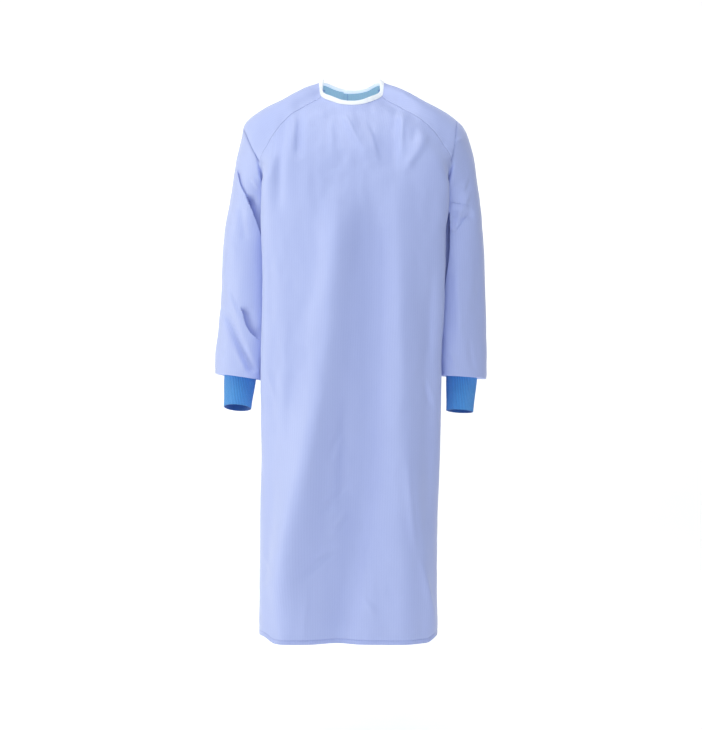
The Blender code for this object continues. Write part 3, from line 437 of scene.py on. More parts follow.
print("front, 0.3 m down, side at x =", round(float(read(FRONT, "down", 0.3, "side_x")), 4))

# %% Curves through a few points
CURVE_STEPS = 24            # steps from one point of a section to the next


def curve(points, start=None, end=None):
    """Many points on the smooth curve through a few, with the end directions where given."""
    points = np.array(points, float)
    count = len(points)
    step = np.linalg.norm(np.diff(points, axis=0), axis=1)
    chord = np.diff(points, axis=0) / step[:, None]
    matrix, right = np.zeros((count, count)), np.zeros((count, 3))
    matrix[0, :2], right[0] = (2, 1), 3 * chord[0]
    matrix[-1, -2:], right[-1] = (1, 2), 3 * chord[-1]
    if start is not None:
        matrix[0, :2], right[0] = (1, 0), start
    if end is not None:
        matrix[-1, -2:], right[-1] = (0, 1), end
    for k in range(1, count - 1):
        matrix[k, k - 1:k + 2] = (step[k], 2 * (step[k - 1] + step[k]), step[k - 1])
        right[k] = 3 * (step[k] * chord[k - 1] + step[k - 1] * chord[k])
    slope = np.linalg.solve(matrix, right)
    t = np.linspace(0, 1, CURVE_STEPS, endpoint=False)[:, None]
    made = [course(t, points[k], points[k + 1], slope[k] * step[k], slope[k + 1] * step[k])
            for k in range(count - 1)]
    return np.vstack(made + [points[-1:]])


def run_of(dense):
    """Length of a curve up to each of its points."""
    return np.concatenate(([0], np.cumsum(np.linalg.norm(np.diff(dense, axis=0), axis=1))))


def between(where, places, points):
    """Points of a line at places on it, where the place of each of its points is known."""
    return np.stack([np.interp(where, places, points[:, axis]) for axis in range(3)], axis=-1)


def along(dense, lengths):
    """Points of a curve at lengths from its start."""
    return between(lengths, run_of(dense), dense)


# %% Sections of the body
def half_body(source, down, side):
    """Side, corner, the fullest point beyond it, and centre of the front or back on one side."""
    def value(name):
        return read(source, "down", down, name)
    edge = np.array((side * value("side_x"), value("side_y"), value("side_z")))
    corner = np.array((side * value("corner_x"), value("corner_y"), value("corner_z")))
    centre = np.array((0.0, value("mid_y"), value("mid_z")))
    share_x = BETWEEN_X[0] + (BETWEEN_X[1] - BETWEEN_X[0]) * smooth(down / CHEST_DOWN)
    full = np.array((corner[0] * share_x, *(corner[1:] + (centre - corner)[1:] * BETWEEN_Y)))
    return edge, corner, full, centre


def sleeve_middle(down):
    """Front, outer and back point of the left sleeve's section."""
    def value(name):
        return read(SLEEVE, "down", down, name)
    middle = np.array((value("mid_x"), value("y"), value("mid_z")))
    lean = radians(value("lean"))
    to_front = value("half_depth") * np.array((0.0, -cos(lean), sin(lean)))
    outer = np.array((value("outer_x"), value("y"), value("outer_z")))
    return middle + to_front, outer, middle - to_front


def across_seam(source, down, facing):
    """The way the cloth runs over the raglan seam of the left side, towards the body."""
    front, _, back = sleeve_middle(down)
    corner = half_body(source, down, 1)[1]
    return unit(corner - (front if facing < 0 else back))


def leave_seam(source, down, facing):
    """The way the body's cloth leaves its left seam: over it, then on, then straight along Y."""
    edge, corner, _, _ = half_body(source, down, 1)
    groove = ramp(down, GROOVE_FROM, GROOVE_TO)
    beside = ramp(down, BESIDE_FROM, UNDERARM_DOWN)
    way = across_seam(source, down, facing) * (1 - groove) + unit(corner - edge) * groove
    return unit(way * (1 - beside) + np.array((0.0, facing, 0.0)) * beside)


def body_row(source, down, facing):
    """The whole front or back at one level, from side seam to side seam, anticlockwise."""
    left = half_body(source, down, 1)
    right = half_body(source, down, -1)
    points = right + left[2::-1] if facing < 0 else left + right[2::-1]
    way = leave_seam(source, down, facing)
    mirrored = way * (-1, 1, 1)
    return curve(points, mirrored if facing < 0 else way, -(way if facing < 0 else mirrored))


# %% Sections of the sleeves and the rings of the cuffs
def sleeve_row(down, side):
    """The sleeve's section at one level from the front seam over the outside to the back."""
    front, outer, back = sleeve_middle(down)
    if down <= UNDERARM_DOWN:
        inner_front, inner_back = half_body(FRONT, down, 1)[0], half_body(BACK, down, 1)[0]
    else:
        settle = smooth((down - UNDERARM_DOWN) / SLEEVE_SETTLE)
        inner_front = front + back - outer
        inner_front[1] = outer[1] * settle
        inner_back = inner_front
    points = np.array((inner_front, front, outer, back, inner_back))
    groove = ramp(down, GROOVE_FROM, GROOVE_TO)
    closing = smooth((down - UNDERARM_DOWN) / SLEEVE_CLOSE)
    forward = np.array((0.0, -1.0, 0.0))
    start = unit(points[1] - points[0]) * groove - across_seam(FRONT, down, -1) * (1 - groove)
    end = unit(points[-1] - points[-2]) * groove + across_seam(BACK, down, 1) * (1 - groove)
    start = unit(unit(start) * (1 - closing) + forward * closing)
    end = unit(unit(end) * (1 - closing) + forward * closing)
    fuller = np.array(FULLER) * ramp(down, FULLER_FROM, FULLER_TO)
    beside = curve(points, start, end)[CURVE_STEPS // 2] + fuller
    made = curve(np.insert(points, 1, beside, axis=0), start, end) * (side, 1, 1)
    return made if side > 0 else made[::-1]


def cuff_frame(place):
    """Centre of the cuff's top, and its own directions: to +X, to the front, and down."""
    side, lean, slope = CUFFS["side"][place], radians(CUFFS["lean"][place]), radians(CUFF_SLOPE)
    across = np.array((cos(slope), 0.0, -sin(slope)))
    forward = np.array((0.0, -cos(lean), sin(lean)))
    forward = unit(forward - across * np.dot(forward, across))
    downward = np.cross(across, forward)
    return np.array((side * CUFF_X, CUFF_Y, CUFF_Z)), across, forward, downward


def cuff_ring(place, radii, angles):
    """Points round the cuff's top ring; angle 0 is at +X, and it turns anticlockwise."""
    centre, across, forward, _ = cuff_frame(place)
    turn = np.cos(angles)[:, None] * across - np.sin(angles)[:, None] * forward
    return centre + turn * np.reshape(radii, (-1, 1))


# %% Grids of points
# Columns and rows lie close together beside seams, hems and free edges
CLOSE = np.array((0.0, 0.0007, 0.0016, 0.0028, 0.0043, 0.0060, 0.0075, 0.0085, 0.0096, 0.0110))
NECK_LEVEL = 0.015          # the first row below the binding
NECK_SHARES = (0.0, 0.25, 0.50, 1.0)    # rows inside the binding, as shares of its height
YOKE_ROWS, SKIRT_ROWS, ARM_ROWS, END_ROWS = 104, 170, 116, 26
FRONT_CELLS = (18, 98, 18)  # from the side seam to the corner, across, and to the other seam
BACK_CELLS = (16, 52)
SLEEVE_CELLS = (150,)

yoke_levels = np.linspace(NECK_LEVEL, UNDERARM_DOWN, YOKE_ROWS + 1)[:-1]
skirt_levels = np.linspace(UNDERARM_DOWN, FRONT["down"][-1] - CLOSE[-1], SKIRT_ROWS + 1)
skirt_levels = np.concatenate((skirt_levels[:-1], FRONT["down"][-1] - CLOSE[::-1]))
arm_levels = np.linspace(UNDERARM_DOWN, SLEEVE_END_DOWN, ARM_ROWS + 1)
UNDERARM_ROW = len(NECK_SHARES) + len(yoke_levels)


def all_levels(lower):
    """Levels of all rows of a piece, the rows inside the binding included."""
    inside = np.array(NECK_SHARES) * BINDING_HEIGHT
    return np.concatenate((inside, yoke_levels, lower))


def grid_of(row_at, lower):
    """Rows of a piece at all its levels, those inside the binding by distance from the edge."""
    first, below = row_at(0.0), row_at(NECK_LEVEL)
    fall = unit(below - first) * BINDING_HEIGHT
    rows = [first + fall * share for share in NECK_SHARES]
    rows += [row_at(down) for down in (*yoke_levels, *lower)]
    grid = np.array(rows)
    grid[..., 0] += read(SWAY, "z", grid[..., 2], "x")
    return grid


def spread(dense, marks, cells):
    """Points of a curve: close together at both ends, and this many cells between the marks."""
    marks = np.concatenate(((CLOSE[-1],), marks, (run_of(dense)[-1] - CLOSE[-1],)))
    inner = np.interp(np.arange(sum(cells) + 1), np.concatenate(((0,), np.cumsum(cells))), marks)
    return along(dense, np.concatenate((CLOSE[:-1], inner, run_of(dense)[-1] - CLOSE[-2::-1])))


def front_row(down):
    """A row of the front, with a column on each corner."""
    dense = body_row(FRONT, down, -1)
    return spread(dense, run_of(dense)[[CURVE_STEPS, -1 - CURVE_STEPS]], FRONT_CELLS)


def back_row(down, side):
    """A row of one back half, from its side seam to its free edge past the centre line."""
    dense = body_row(BACK, down, 1)
    dense = dense if side > 0 else dense[::-1]
    past = read(OVERLAP, "down", down, "under" if side > 0 else "upper")
    run = run_of(dense)
    end = np.interp(past, -side * dense[:, 0], run)
    part = np.vstack((dense[run < end], along(dense, (end,))))
    row = spread(part, (run[CURVE_STEPS],), BACK_CELLS)
    return row if side > 0 else row[::-1]


def sleeve_grid(place):
    """A sleeve: open above the underarm, a tube below it, and its end lapped over the cuff."""
    side = CUFFS["side"][place]
    grid = grid_of(lambda down: spread(sleeve_row(down, side), (), SLEEVE_CELLS), arm_levels)
    drop = smooth((all_levels(arm_levels)[:, None] - SLEEVE_END_DOWN + SLEEVE_END_SPAN) / SLEEVE_END_SPAN)
    grid[..., 2] -= drop * (grid[..., 0] - side * CUFF_X) * tan(radians(SLEEVE_END_SLOPE))
    shares = run_of(grid[-1]) / run_of(grid[-1])[-1]
    start_angle = pi if side > 0 else 0.0
    ring = cuff_ring(place, CUFFS["top"][place] + SEAM_GAP, start_angle + 2 * pi * shares)
    way = np.linspace(0, 1, END_ROWS + 1)[1:]
    inward = read(SLEEVE_END, "way", way, "inward")[:, None, None]
    lower = read(SLEEVE_END, "way", way, "down")[:, None, None] * cuff_frame(place)[3]
    grid = np.concatenate((grid, grid[-1] + (ring - grid[-1]) * inward + lower))
    grid[UNDERARM_ROW:, -1] = grid[UNDERARM_ROW:, 0]
    return grid


pieces = {
    "front_panel": {"outer": grid_of(front_row, skirt_levels), "lower": skirt_levels},
    "back_left": {"outer": grid_of(lambda down: back_row(down, 1), skirt_levels), "lower": skirt_levels},
    "back_right": {"outer": grid_of(lambda down: back_row(down, -1), skirt_levels), "lower": skirt_levels},
    "sleeve_left": {"outer": sleeve_grid(1), "lower": arm_levels},
    "sleeve_right": {"outer": sleeve_grid(0), "lower": arm_levels},
}
for name, piece in pieces.items():
    piece["closed"] = UNDERARM_ROW if name.startswith("sleeve") else None
    levels = all_levels(piece["lower"])
    levels = np.concatenate((levels, np.full(len(piece["outer"]) - len(levels), levels[-1])))
    piece["levels"] = levels[:, None]
    print(name, "rows and columns:", piece["outer"].shape[:2])

# %% [markdown]
# ## How the cloth lies
# The smooth form is now pushed in and out along its own normals. Broad folds come first, then the
# creases, then a light unevenness that any washed cloth has. That last one is a sum of a few dozen
# waves of random direction, with a second sum that fades it in and out, so that no stretch of cloth
# looks like another.

# %% Normals and seams
NONE_NEAR = 1.0             # distance given to points whose row has no such seam or edge


def normals_of(grid, closed):
    """Outward normals of a grid; rows from closed on are closed tubes."""
    down, across = np.gradient(grid, axis=0), np.gradient(grid, axis=1)
    if closed is not None:
        turn = (grid[closed:, 1] - grid[closed:, -2]) / 2
        across[closed:, 0] = across[closed:, -1] = turn
    return unit(np.cross(down, across))


YOKE, SKIRT = slice(0, UNDERARM_ROW + 1), slice(UNDERARM_ROW, None)
SEAMS = (("front_panel", "sleeve_left", YOKE), ("sleeve_left", "back_left", YOKE),
         ("back_right", "sleeve_right", YOKE), ("sleeve_right", "front_panel", YOKE),
         ("front_panel", "back_left", SKIRT), ("back_right", "front_panel", SKIRT))


def share_normals():
    """Give pieces that meet at a seam one normal there, so that their edges lie face to face."""
    for before, after, rows in SEAMS:
        mean = unit(pieces[before]["normal"][rows, -1] + pieces[after]["normal"][rows, 0])
        pieces[before]["normal"][rows, -1] = mean
        pieces[after]["normal"][rows, 0] = mean
    for before, after, _ in SEAMS:
        pieces[before]["normal"][UNDERARM_ROW, -1] = (0.0, 0.0, -1.0)
        pieces[after]["normal"][UNDERARM_ROW, 0] = (0.0, 0.0, -1.0)


def set_normals():
    """Work out the normals of all pieces, each piece's own ones and those shared at the seams."""
    for piece in pieces.values():
        piece["flat"] = normals_of(piece["outer"], piece["closed"])
        piece["normal"] = piece["flat"].copy()
    share_normals()


def to_edges(grid):
    """Length of cloth from each point to its row's first point and to its last."""
    step = np.linalg.norm(np.diff(grid, axis=1), axis=2)
    from_first = np.concatenate((np.zeros((len(grid), 1)), np.cumsum(step, axis=1)), axis=1)
    return from_first, from_first[:, -1:] - from_first


set_normals()
for piece in pieces.values():
    piece["from_first"], piece["from_last"] = to_edges(piece["outer"])
print("front is", round(float(pieces["front_panel"]["from_first"][-1, -1]), 3), "m wide at the hem")

# %% Folds, creases and unevenness
CREASE_FADE = 0.38          # share of a crease's length in which it grows at either end
CREASE_FREE = 0.012         # width beside a seam in which it dies away
END_FADE = 0.014            # length above a sleeve's end in which all folds die away
NECK_FADE, NECK_SHARE = 0.030, 0.15     # length in which folds grow from the neck, and share there
HEM_LIFT = 0.0115           # the hem at the side seams is this much higher than in front
LIFT_FROM, LIFT_TO = 0.155, 0.185       # distances from the middle between which it rises
LIFT_TOP, LIFT_REACH = -1.06, 0.10      # height below which it rises, and length in which it does
# Waves of the unevenness: how many, the longest, and how far they are squeezed to run downwards
BROAD_HEIGHT, BROAD_WAVES = 0.0004, (26, 0.080, 0.45)
FINE_HEIGHT, FINE_WAVES = 0.0002, (30, 0.034, 0.6)
COME_AND_GO = (9, 0.30, 0.5)
SHORTEST = 0.35             # shortest wave, as a share of the longest
CLOTH_SEED = 7


def line_push(points, normals, row, fade_share):
    """Push of one fold or crease on each point."""
    across = np.array((row["x1"] - row["x0"], row["z1"] - row["z0"]))
    length = np.linalg.norm(across)
    x, z = points[..., 0] - row["x0"], points[..., 2] - row["z0"]
    share = (x * across[0] + z * across[1]) / length ** 2
    inside = np.clip(share, 0, 1)
    aside = (x * across[1] - z * across[0]) / length - row["bow"] * 4 * inside * (1 - inside)
    wide = np.where(aside > 0, row["left"], row["right"])
    fade = smooth(share / fade_share) * smooth((1 - share) / fade_share)
    turned = ramp(row["face"] * normals[..., 1], *FACING)
    return row["height"] * fade * turned * np.exp(-(aside / wide) ** 2)


def rows_of(source):
    """The rows of a table, each with its columns' names."""
    return [dict(zip(source, values)) for values in zip(*source.values())]


def waves(points, seed, count, longest, upright):
    """A sum of random waves, about 1 high; upright squeezes them so that they run downwards."""
    chance = np.random.default_rng(seed)
    total = np.zeros(points.shape[:-1])
    for _ in range(count):
        wavelength = longest * chance.uniform(SHORTEST, 1.0)
        angle = chance.uniform(0, 2 * pi)
        way = np.array((cos(angle), sin(angle) * chance.uniform(-1, 1), sin(angle) * upright))
        total += np.sin(points @ way * 2 * pi / wavelength + chance.uniform(0, 2 * pi)) * wavelength
    return total / (longest * (count / 4) ** 0.5)


def unevenness(points, seed):
    """Low, soft waves that come and go over the cloth, in metres."""
    where = smooth(0.5 + 0.6 * waves(points, seed + 1, *COME_AND_GO))
    return (BROAD_HEIGHT * waves(points, seed, *BROAD_WAVES)
            + FINE_HEIGHT * where * waves(points, seed + 2, *FINE_WAVES))


def beside_seams(name):
    """Distance of each point to the nearest seam; free edges don't count."""
    piece = pieces[name]
    far = np.full(piece["outer"].shape[:2], NONE_NEAR)
    for before, after, rows in SEAMS:
        if before == name:
            far[rows] = np.minimum(far[rows], piece["from_last"][rows])
        if after == name:
            far[rows] = np.minimum(far[rows], piece["from_first"][rows])
    if piece["closed"] is not None:
        below = slice(piece["closed"], None)
        far[below] = np.minimum(piece["from_first"], piece["from_last"])[below]
    return far


def hem_lift(points):
    """How far each point near the hem is raised; the hem is highest at the side seams."""
    outward = ramp(np.abs(points[..., 0]), LIFT_FROM, LIFT_TO)
    return HEM_LIFT * outward * smooth((LIFT_TOP - points[..., 2]) / LIFT_REACH)


for name, piece in pieces.items():
    piece["seam"] = beside_seams(name)
    push = unevenness(piece["outer"], CLOTH_SEED)
    for row in rows_of(FOLDS):
        push += line_push(piece["outer"], piece["normal"], row, row["fade"])
    for row in rows_of(CREASES):
        if row["piece"] == name:
            free = smooth(piece["seam"] / CREASE_FREE)
            push += line_push(piece["outer"], piece["normal"], row, CREASE_FADE) * free
    if name.startswith("sleeve"):
        push *= smooth((SLEEVE_END_DOWN - piece["levels"]) / END_FADE)
    push *= smooth(piece["levels"] / NECK_FADE) * (1 - NECK_SHARE) + NECK_SHARE
    piece["outer"] = piece["outer"] + piece["normal"] * push[..., None]
    if not name.startswith("sleeve"):
        piece["outer"][..., 2] += hem_lift(piece["outer"])
    inmost, outmost = round(float(push.min()) * 1000, 1), round(float(push.max()) * 1000, 1)
    print(name, "pushed from", inmost, "to", outmost, "mm")

# %% Laps of cloth
# The points near a lap are drawn in to its line, so that the fold is sharp. Then the upper side is
# moved over the line and out, and the lower side under it and in.
GATHER, GATHER_REACH = 0.85, 0.005
LAP_SHIFT, LAP_SHIFT_REACH = 0.0014, 0.010
LAP_FADE = 0.020            # length in which a lap grows at each end
LAP_EDGE = 0.0014           # how far the painted shade reaches on the upper side
LAP_FREE = 0.008            # width beside a seam in which a lap dies away


def from_line(points, line):
    """Distance of points from a line, positive on its -X side, the way to that side, and the run."""
    dense = curve([(x, 0.0, z) for x, z in line])
    run = run_of(dense)
    near = np.full(points.shape[:-1], np.inf)
    aside, ahead, toward = np.zeros(near.shape), np.zeros(near.shape), np.zeros(points.shape)
    for start, end, before in zip(dense[:-1], dense[1:], run):
        way = unit(end - start)
        square = np.array((way[2], 0.0, -way[0]))
        offset = (points - start) * (1, 0, 1)
        along_it = np.clip(offset @ way, 0, np.linalg.norm(end - start))
        miss = offset - along_it[..., None] * way
        distance = np.linalg.norm(miss, axis=-1)
        closer = distance < near
        near = np.where(closer, distance, near)
        aside = np.where(closer, distance * np.sign(offset @ square), aside)
        ahead = np.where(closer, before + along_it, ahead)
        toward[closer] = square
    return aside, toward, ahead, run[-1]


def lap(piece, row):
    """The moves that fold the cloth of a piece along one line, and the shade painted into its colour under
    it.
    """
    normal = piece["normal"]
    aside, toward, ahead, length = from_line(piece["outer"], row["line"])
    top = -row["over"] * aside
    toward = unit(toward - normal * np.sum(toward * normal, axis=-1, keepdims=True)) * -row["over"]
    fade = smooth(ahead / LAP_FADE) * smooth((length - ahead) / LAP_FADE) * smooth(piece["seam"] / LAP_FREE)
    fade *= ramp(row["face"] * normal[..., 1], *FACING)
    slide = -top * GATHER * np.exp(-(top / GATHER_REACH) ** 2)
    slide -= np.sign(top) * LAP_SHIFT * np.exp(-(top / LAP_SHIFT_REACH) ** 2)
    rise = np.where(top > 0, row["height"] * np.exp(-(top / row["over_reach"]) ** 2),
                    -row["depth"] * np.exp(-(top / row["under_reach"]) ** 2))
    shade = row["shade"] * np.exp(-(top / np.where(top > 0, LAP_EDGE, row["shade_reach"])) ** 2)
    return (toward * slide[..., None] + normal * rise[..., None]) * fade[..., None], shade * fade


set_normals()
for piece in pieces.values():
    piece["lap"] = np.zeros(piece["outer"].shape[:2])
for row in rows_of(LAPS):
    piece = pieces[row["piece"]]
    moves, shade = lap(piece, row)
    piece["outer"] = piece["outer"] + moves
    # the shade painted under the laps, kept for the finish
    piece["lap"] = np.maximum(piece["lap"], shade)
print("folded", len(LAPS["piece"]), "laps")

# %% The lower layer of the back
back = pieces["back_left"]
reach = read(OVERLAP, "down", back["levels"], "upper")
inside = smooth((reach + LAYER_EASE - back["outer"][..., 0]) / LAYER_EASE)
back["outer"] = back["outer"] - back["normal"] * (inside * LAYER_STEP)[..., None]
print("the lower layer lies", LAYER_STEP * 1000, "mm inside the upper one")

# %% [markdown]
# ## Seams and hems
# A seam is a shallow groove: the thread pulls both edges in, and the cloth beside it puckers a
# little. A hem is cloth folded twice, so it is thicker, and its stitches press a fine line into it.
# Both are worked out from each point's distance to the edge.

# %% Grooves, puckers and hems
CLOTH = 0.0005              # thickness of the cloth
HEM_DEPTH, HEM_STITCH = 0.0105, 0.0085  # the turned hem, and its stitches' distance from the edge
HEM_EDGE, HEM_EXTRA = 0.0012, 1.2       # width of its upper edge, and share of thickness it adds
STITCH_WIDTH, STITCH_DEPTH = 0.0014, 0.0005
SEAM_WIDTH, SEAM_DEPTH = 0.0018, 0.0006
SEAM_STITCH = 0.0030        # distance of the top stitches from the seam
# Puckers beside seams and hem stitches: height, reach, and their waves with the seed first
PUCKER, PUCKER_REACH, PUCKER_WAVES = 0.00025, 0.009, (41, 18, 0.022, 1.0)
HEM_PUCKER, HEM_PUCKER_REACH, HEM_WAVES = 0.0003, 0.006, (43, 18, 0.020, 1.0)
LEAN_LEAST = 0.7            # least share that a tilted normal may have of the cloth's own
FAR = 0.05                  # distances beyond this are all the same to the finish


def to_free_edge(name):
    """Distance to the hem and to the stitched edge at the centre back."""
    piece = pieces[name]
    if name.startswith("sleeve"):
        return np.full(piece["outer"].shape[:2], NONE_NEAR)
    hem = np.broadcast_to(FRONT["down"][-1] - piece["levels"], piece["outer"].shape[:2])
    edges = {"back_left": "from_last", "back_right": "from_first"}
    return np.minimum(hem, piece[edges[name]]) if name in edges else hem


for name, piece in pieces.items():
    seam, hem = piece["seam"], to_free_edge(name)
    groove = np.exp(-(seam / SEAM_WIDTH) ** 2)
    pucker = np.exp(-seam / PUCKER_REACH) * waves(piece["outer"], *PUCKER_WAVES)
    from_stitches = np.abs(hem - HEM_STITCH)
    hem_pucker = np.exp(-from_stitches / HEM_PUCKER_REACH) * waves(piece["outer"], *HEM_WAVES)
    stitch_line = np.exp(-(from_stitches / STITCH_WIDTH) ** 2)
    push = PUCKER * pucker + HEM_PUCKER * hem_pucker - SEAM_DEPTH * groove - STITCH_DEPTH * stitch_line
    piece["outer"] = piece["outer"] + piece["normal"] * push[..., None]
    folded = smooth((HEM_DEPTH - hem) / HEM_EDGE + 0.5)
    piece["thickness"] = CLOTH * (1 + HEM_EXTRA * folded)
    piece["shown"] = {"seam": np.minimum(seam, FAR), "hem": np.minimum(hem, FAR), "lap": piece["lap"]}
print("hem", HEM_DEPTH * 1000, "mm deep")

# %% Both faces of each piece
set_normals()
for place, side in enumerate(CUFFS["name"]):
    pieces["sleeve_" + side]["normal"][-1] = cuff_frame(place)[3]
    pieces["sleeve_" + side]["flat"][-1] = cuff_frame(place)[3]
for piece in pieces.values():
    lean = np.clip(np.sum(piece["normal"] * piece["flat"], axis=-1), LEAN_LEAST, 1.0)
    piece["inner"] = piece["outer"] - piece["normal"] * (piece["thickness"] / lean)[..., None]


def part_seams():
    """Move the two edges at each seam apart, square to the seam and to the cloth."""
    moves = {name: np.zeros(piece["outer"].shape) for name, piece in pieces.items()}
    for before, after, rows in SEAMS:
        line = pieces[before]["outer"][rows, -1]
        aside = unit(np.cross(pieces[before]["normal"][rows, -1], np.gradient(line, axis=0)))
        back = pieces[before]["outer"][rows, -2] - line
        aside *= np.sign(np.sum(aside * back)) * SEAM_GAP / 2
        moves[before][rows, -1] += aside
        moves[after][rows, 0] -= aside
    for name in ("sleeve_left", "sleeve_right"):
        both = moves[name][UNDERARM_ROW, 0] + moves[name][UNDERARM_ROW, -1]
        moves[name][UNDERARM_ROW, 0] = moves[name][UNDERARM_ROW, -1] = both
    for name, piece in pieces.items():
        for face in ("outer", "inner"):
            piece[face] = piece[face] + moves[name]


part_seams()
print("seams", SEAM_GAP * 1000, "mm apart")

# %% [markdown]
# ## Finishes
# A finish is a small graph of shader nodes. Written out node by node it is long and hard to read, so
# helpers make it look like the sum it is. `Value` wraps the output of a node and lets +, -, * and /
# add the Math nodes. `Nodes` makes any other node from its type, its settings and its inputs, and
# `Finish` adds the material and its main shader.

# %% Helpers for finishes
class Value:
    """A number that changes over the surface."""

    def __init__(self, finish, socket):
        self.finish, self.socket = finish, socket

    def math(self, operation, *others):
        """A Math node with this number as its first input."""
        return self.finish.math(operation, self, *others)

    def __add__(self, other):
        return self.math("ADD", other)

    def __sub__(self, other):
        return self.math("SUBTRACT", other)

    def __rsub__(self, other):
        return self.finish.math("SUBTRACT", other, self)

    def __mul__(self, other):
        return self.math("MULTIPLY", other)

    def __truediv__(self, other):
        return self.math("DIVIDE", other)

    __radd__, __rmul__ = __add__, __mul__

    def below(self, limit, edge):
        """1 where the number is under the limit, 0 where it is over it, with a soft edge."""
        return (self * (-1 / edge) + (limit / edge + 0.5)).math("MINIMUM", 1.0).math("MAXIMUM", 0.0)


class Nodes:
    """A tree of nodes, and one method that adds a node to it."""

    def __init__(self, tree):
        self.tree = tree

    def put(self, socket, value):
        """Set a socket to a number or a colour, or link a node's output to it."""
        value = getattr(value, "socket", value)
        if isinstance(value, bpy.types.NodeSocket):
            self.tree.links.new(value, socket)
        else:
            socket.default_value = value

    def node(self, kind, settings=None, inputs=None):
        """A new node of a kind, with its settings, and its inputs by name or number."""
        made = self.tree.nodes.new(kind)
        for name, value in (settings or {}).items():
            setattr(made, name, value)
        for name, value in (inputs or {}).items():
            self.put(made.inputs[name], value)
        return made


class Finish(Nodes):
    """A material, its main shader, and methods for the nodes that finishes need."""

    def __init__(self, name, colour, **settings):
        self.material = bpy.data.materials.new(name)
        self.material.use_nodes = True
        self.material.diffuse_color = (*colour, 1.0)
        super().__init__(self.material.node_tree)
        self.shader = self.tree.nodes["Principled BSDF"]
        self.set(**{"Base Color": (*colour, 1.0)})
        self.set(**{name.replace("_", " "): value for name, value in settings.items()})

    def math(self, operation, *values):
        """The result of a Math node on these values."""
        made = self.node("ShaderNodeMath", {"operation": operation}, dict(enumerate(values)))
        return Value(self, made.outputs[0])

    def set(self, **values):
        """Set inputs of the main shader."""
        for name, value in values.items():
            self.put(self.shader.inputs[name], value)

    def uv(self):
        """The two numbers of the cloth's own map, in metres across and down."""
        parts = self.node("ShaderNodeSeparateXYZ", {}, {0: self.node("ShaderNodeUVMap").outputs[0]})
        return Value(self, parts.outputs[0]), Value(self, parts.outputs[1])

    def attribute(self, name):
        """A number that the mesh stores for each of its points."""
        return Value(self, self.node("ShaderNodeAttribute", {"attribute_name": name}).outputs["Fac"])

    def vector(self, x, y):
        """A flat place, from its two numbers."""
        return self.node("ShaderNodeCombineXYZ", {}, {0: x, 1: y}).outputs[0]

    def place(self):
        """The place on the object, in metres."""
        return self.node("ShaderNodeTexCoord").outputs["Object"]

    def noise(self, where, scale, detail):
        """Soft random clouds, from 0 to 1; scale is how many come in a metre."""
        sizes = {"Vector": where, "Scale": scale, "Detail": detail, "Roughness": 0.55}
        return Value(self, self.node("ShaderNodeTexNoise", {}, sizes).outputs[0])

    def mix(self, factor, first, second):
        """A colour between two, by a factor from 0 to 1."""
        made = self.node("ShaderNodeMix", {"data_type": "RGBA"}, {0: factor, 6: first, 7: second})
        return made.outputs[2]

    def bump(self, height, distance, strength=1.0):
        """Relief of the surface that is too fine to be modelled."""
        sizes = {"Height": height, "Distance": distance, "Strength": strength}
        self.set(Normal=self.node("ShaderNodeBump", {}, sizes).outputs[0])


def stripe(across, pitch, width):
    """1 on thin lines that repeat across the cloth, 0 between them, with soft edges."""
    off = ((across / pitch).math("FRACT") - 0.5).math("ABSOLUTE")
    return (off * (-2 * pitch / width) + 1.0).math("MAXIMUM", 0.0)


print("helpers ready")

# %% [markdown]
# ### Woven cloth
# The outer face is a fine, close polyester weave with a thin stripe every 5 mm, which reads as a
# soft vertical grain. Its map is in metres, so the stripe keeps its real width and runs with the
# thread on every panel. The inner face is a clearer blue. Each panel knows its distance to the
# nearest seam and hem, so the finish can draw a seam's line, a row of stitches or a doubled edge
# more sharply than the mesh could hold them.

# %% Woven cloth
STRIPE_PITCH, STRIPE_WIDTH = 0.0050, 0.0030
WEAVE_PITCH = 0.00055
OUTSIDE_COLOUR, OUTSIDE_DEEP = (0.455, 0.525, 0.850), (0.330, 0.395, 0.740)
INSIDE_COLOUR, INSIDE_DEEP = (0.400, 0.590, 0.690), (0.305, 0.460, 0.580)
INSIDE_PAINTED_GLOW = 0.34          # painted glow, standing in for light that comes through the thin cloth from the other side
LINE_COLOUR = (0.150, 0.190, 0.480)     # cloth in the line of a seam or a row of stitches
LAP_SHADE_COLOUR = (0.030, 0.055, 0.380)      # painted shade under a lap
SEWN_LINE, SEWN_EDGE = 0.0008, 0.0008   # half the width of a seam's line, and of its soft edge
PRESSED_EDGE = 0.0010                   # soft edge of the cloth that is pressed beside it, raised and painted lighter as a highlight
STITCHED_LINE, STITCHED_EDGE = 0.0005, 0.0007
DOUBLED_EDGE = 0.0006                   # soft upper edge of a hem
CLOUDS, CRUMPLES = 9.0, 55.0            # soft patches and small crumples in a metre
STREAKS_ACROSS, STREAKS_DOWN = 900.0, 12.0


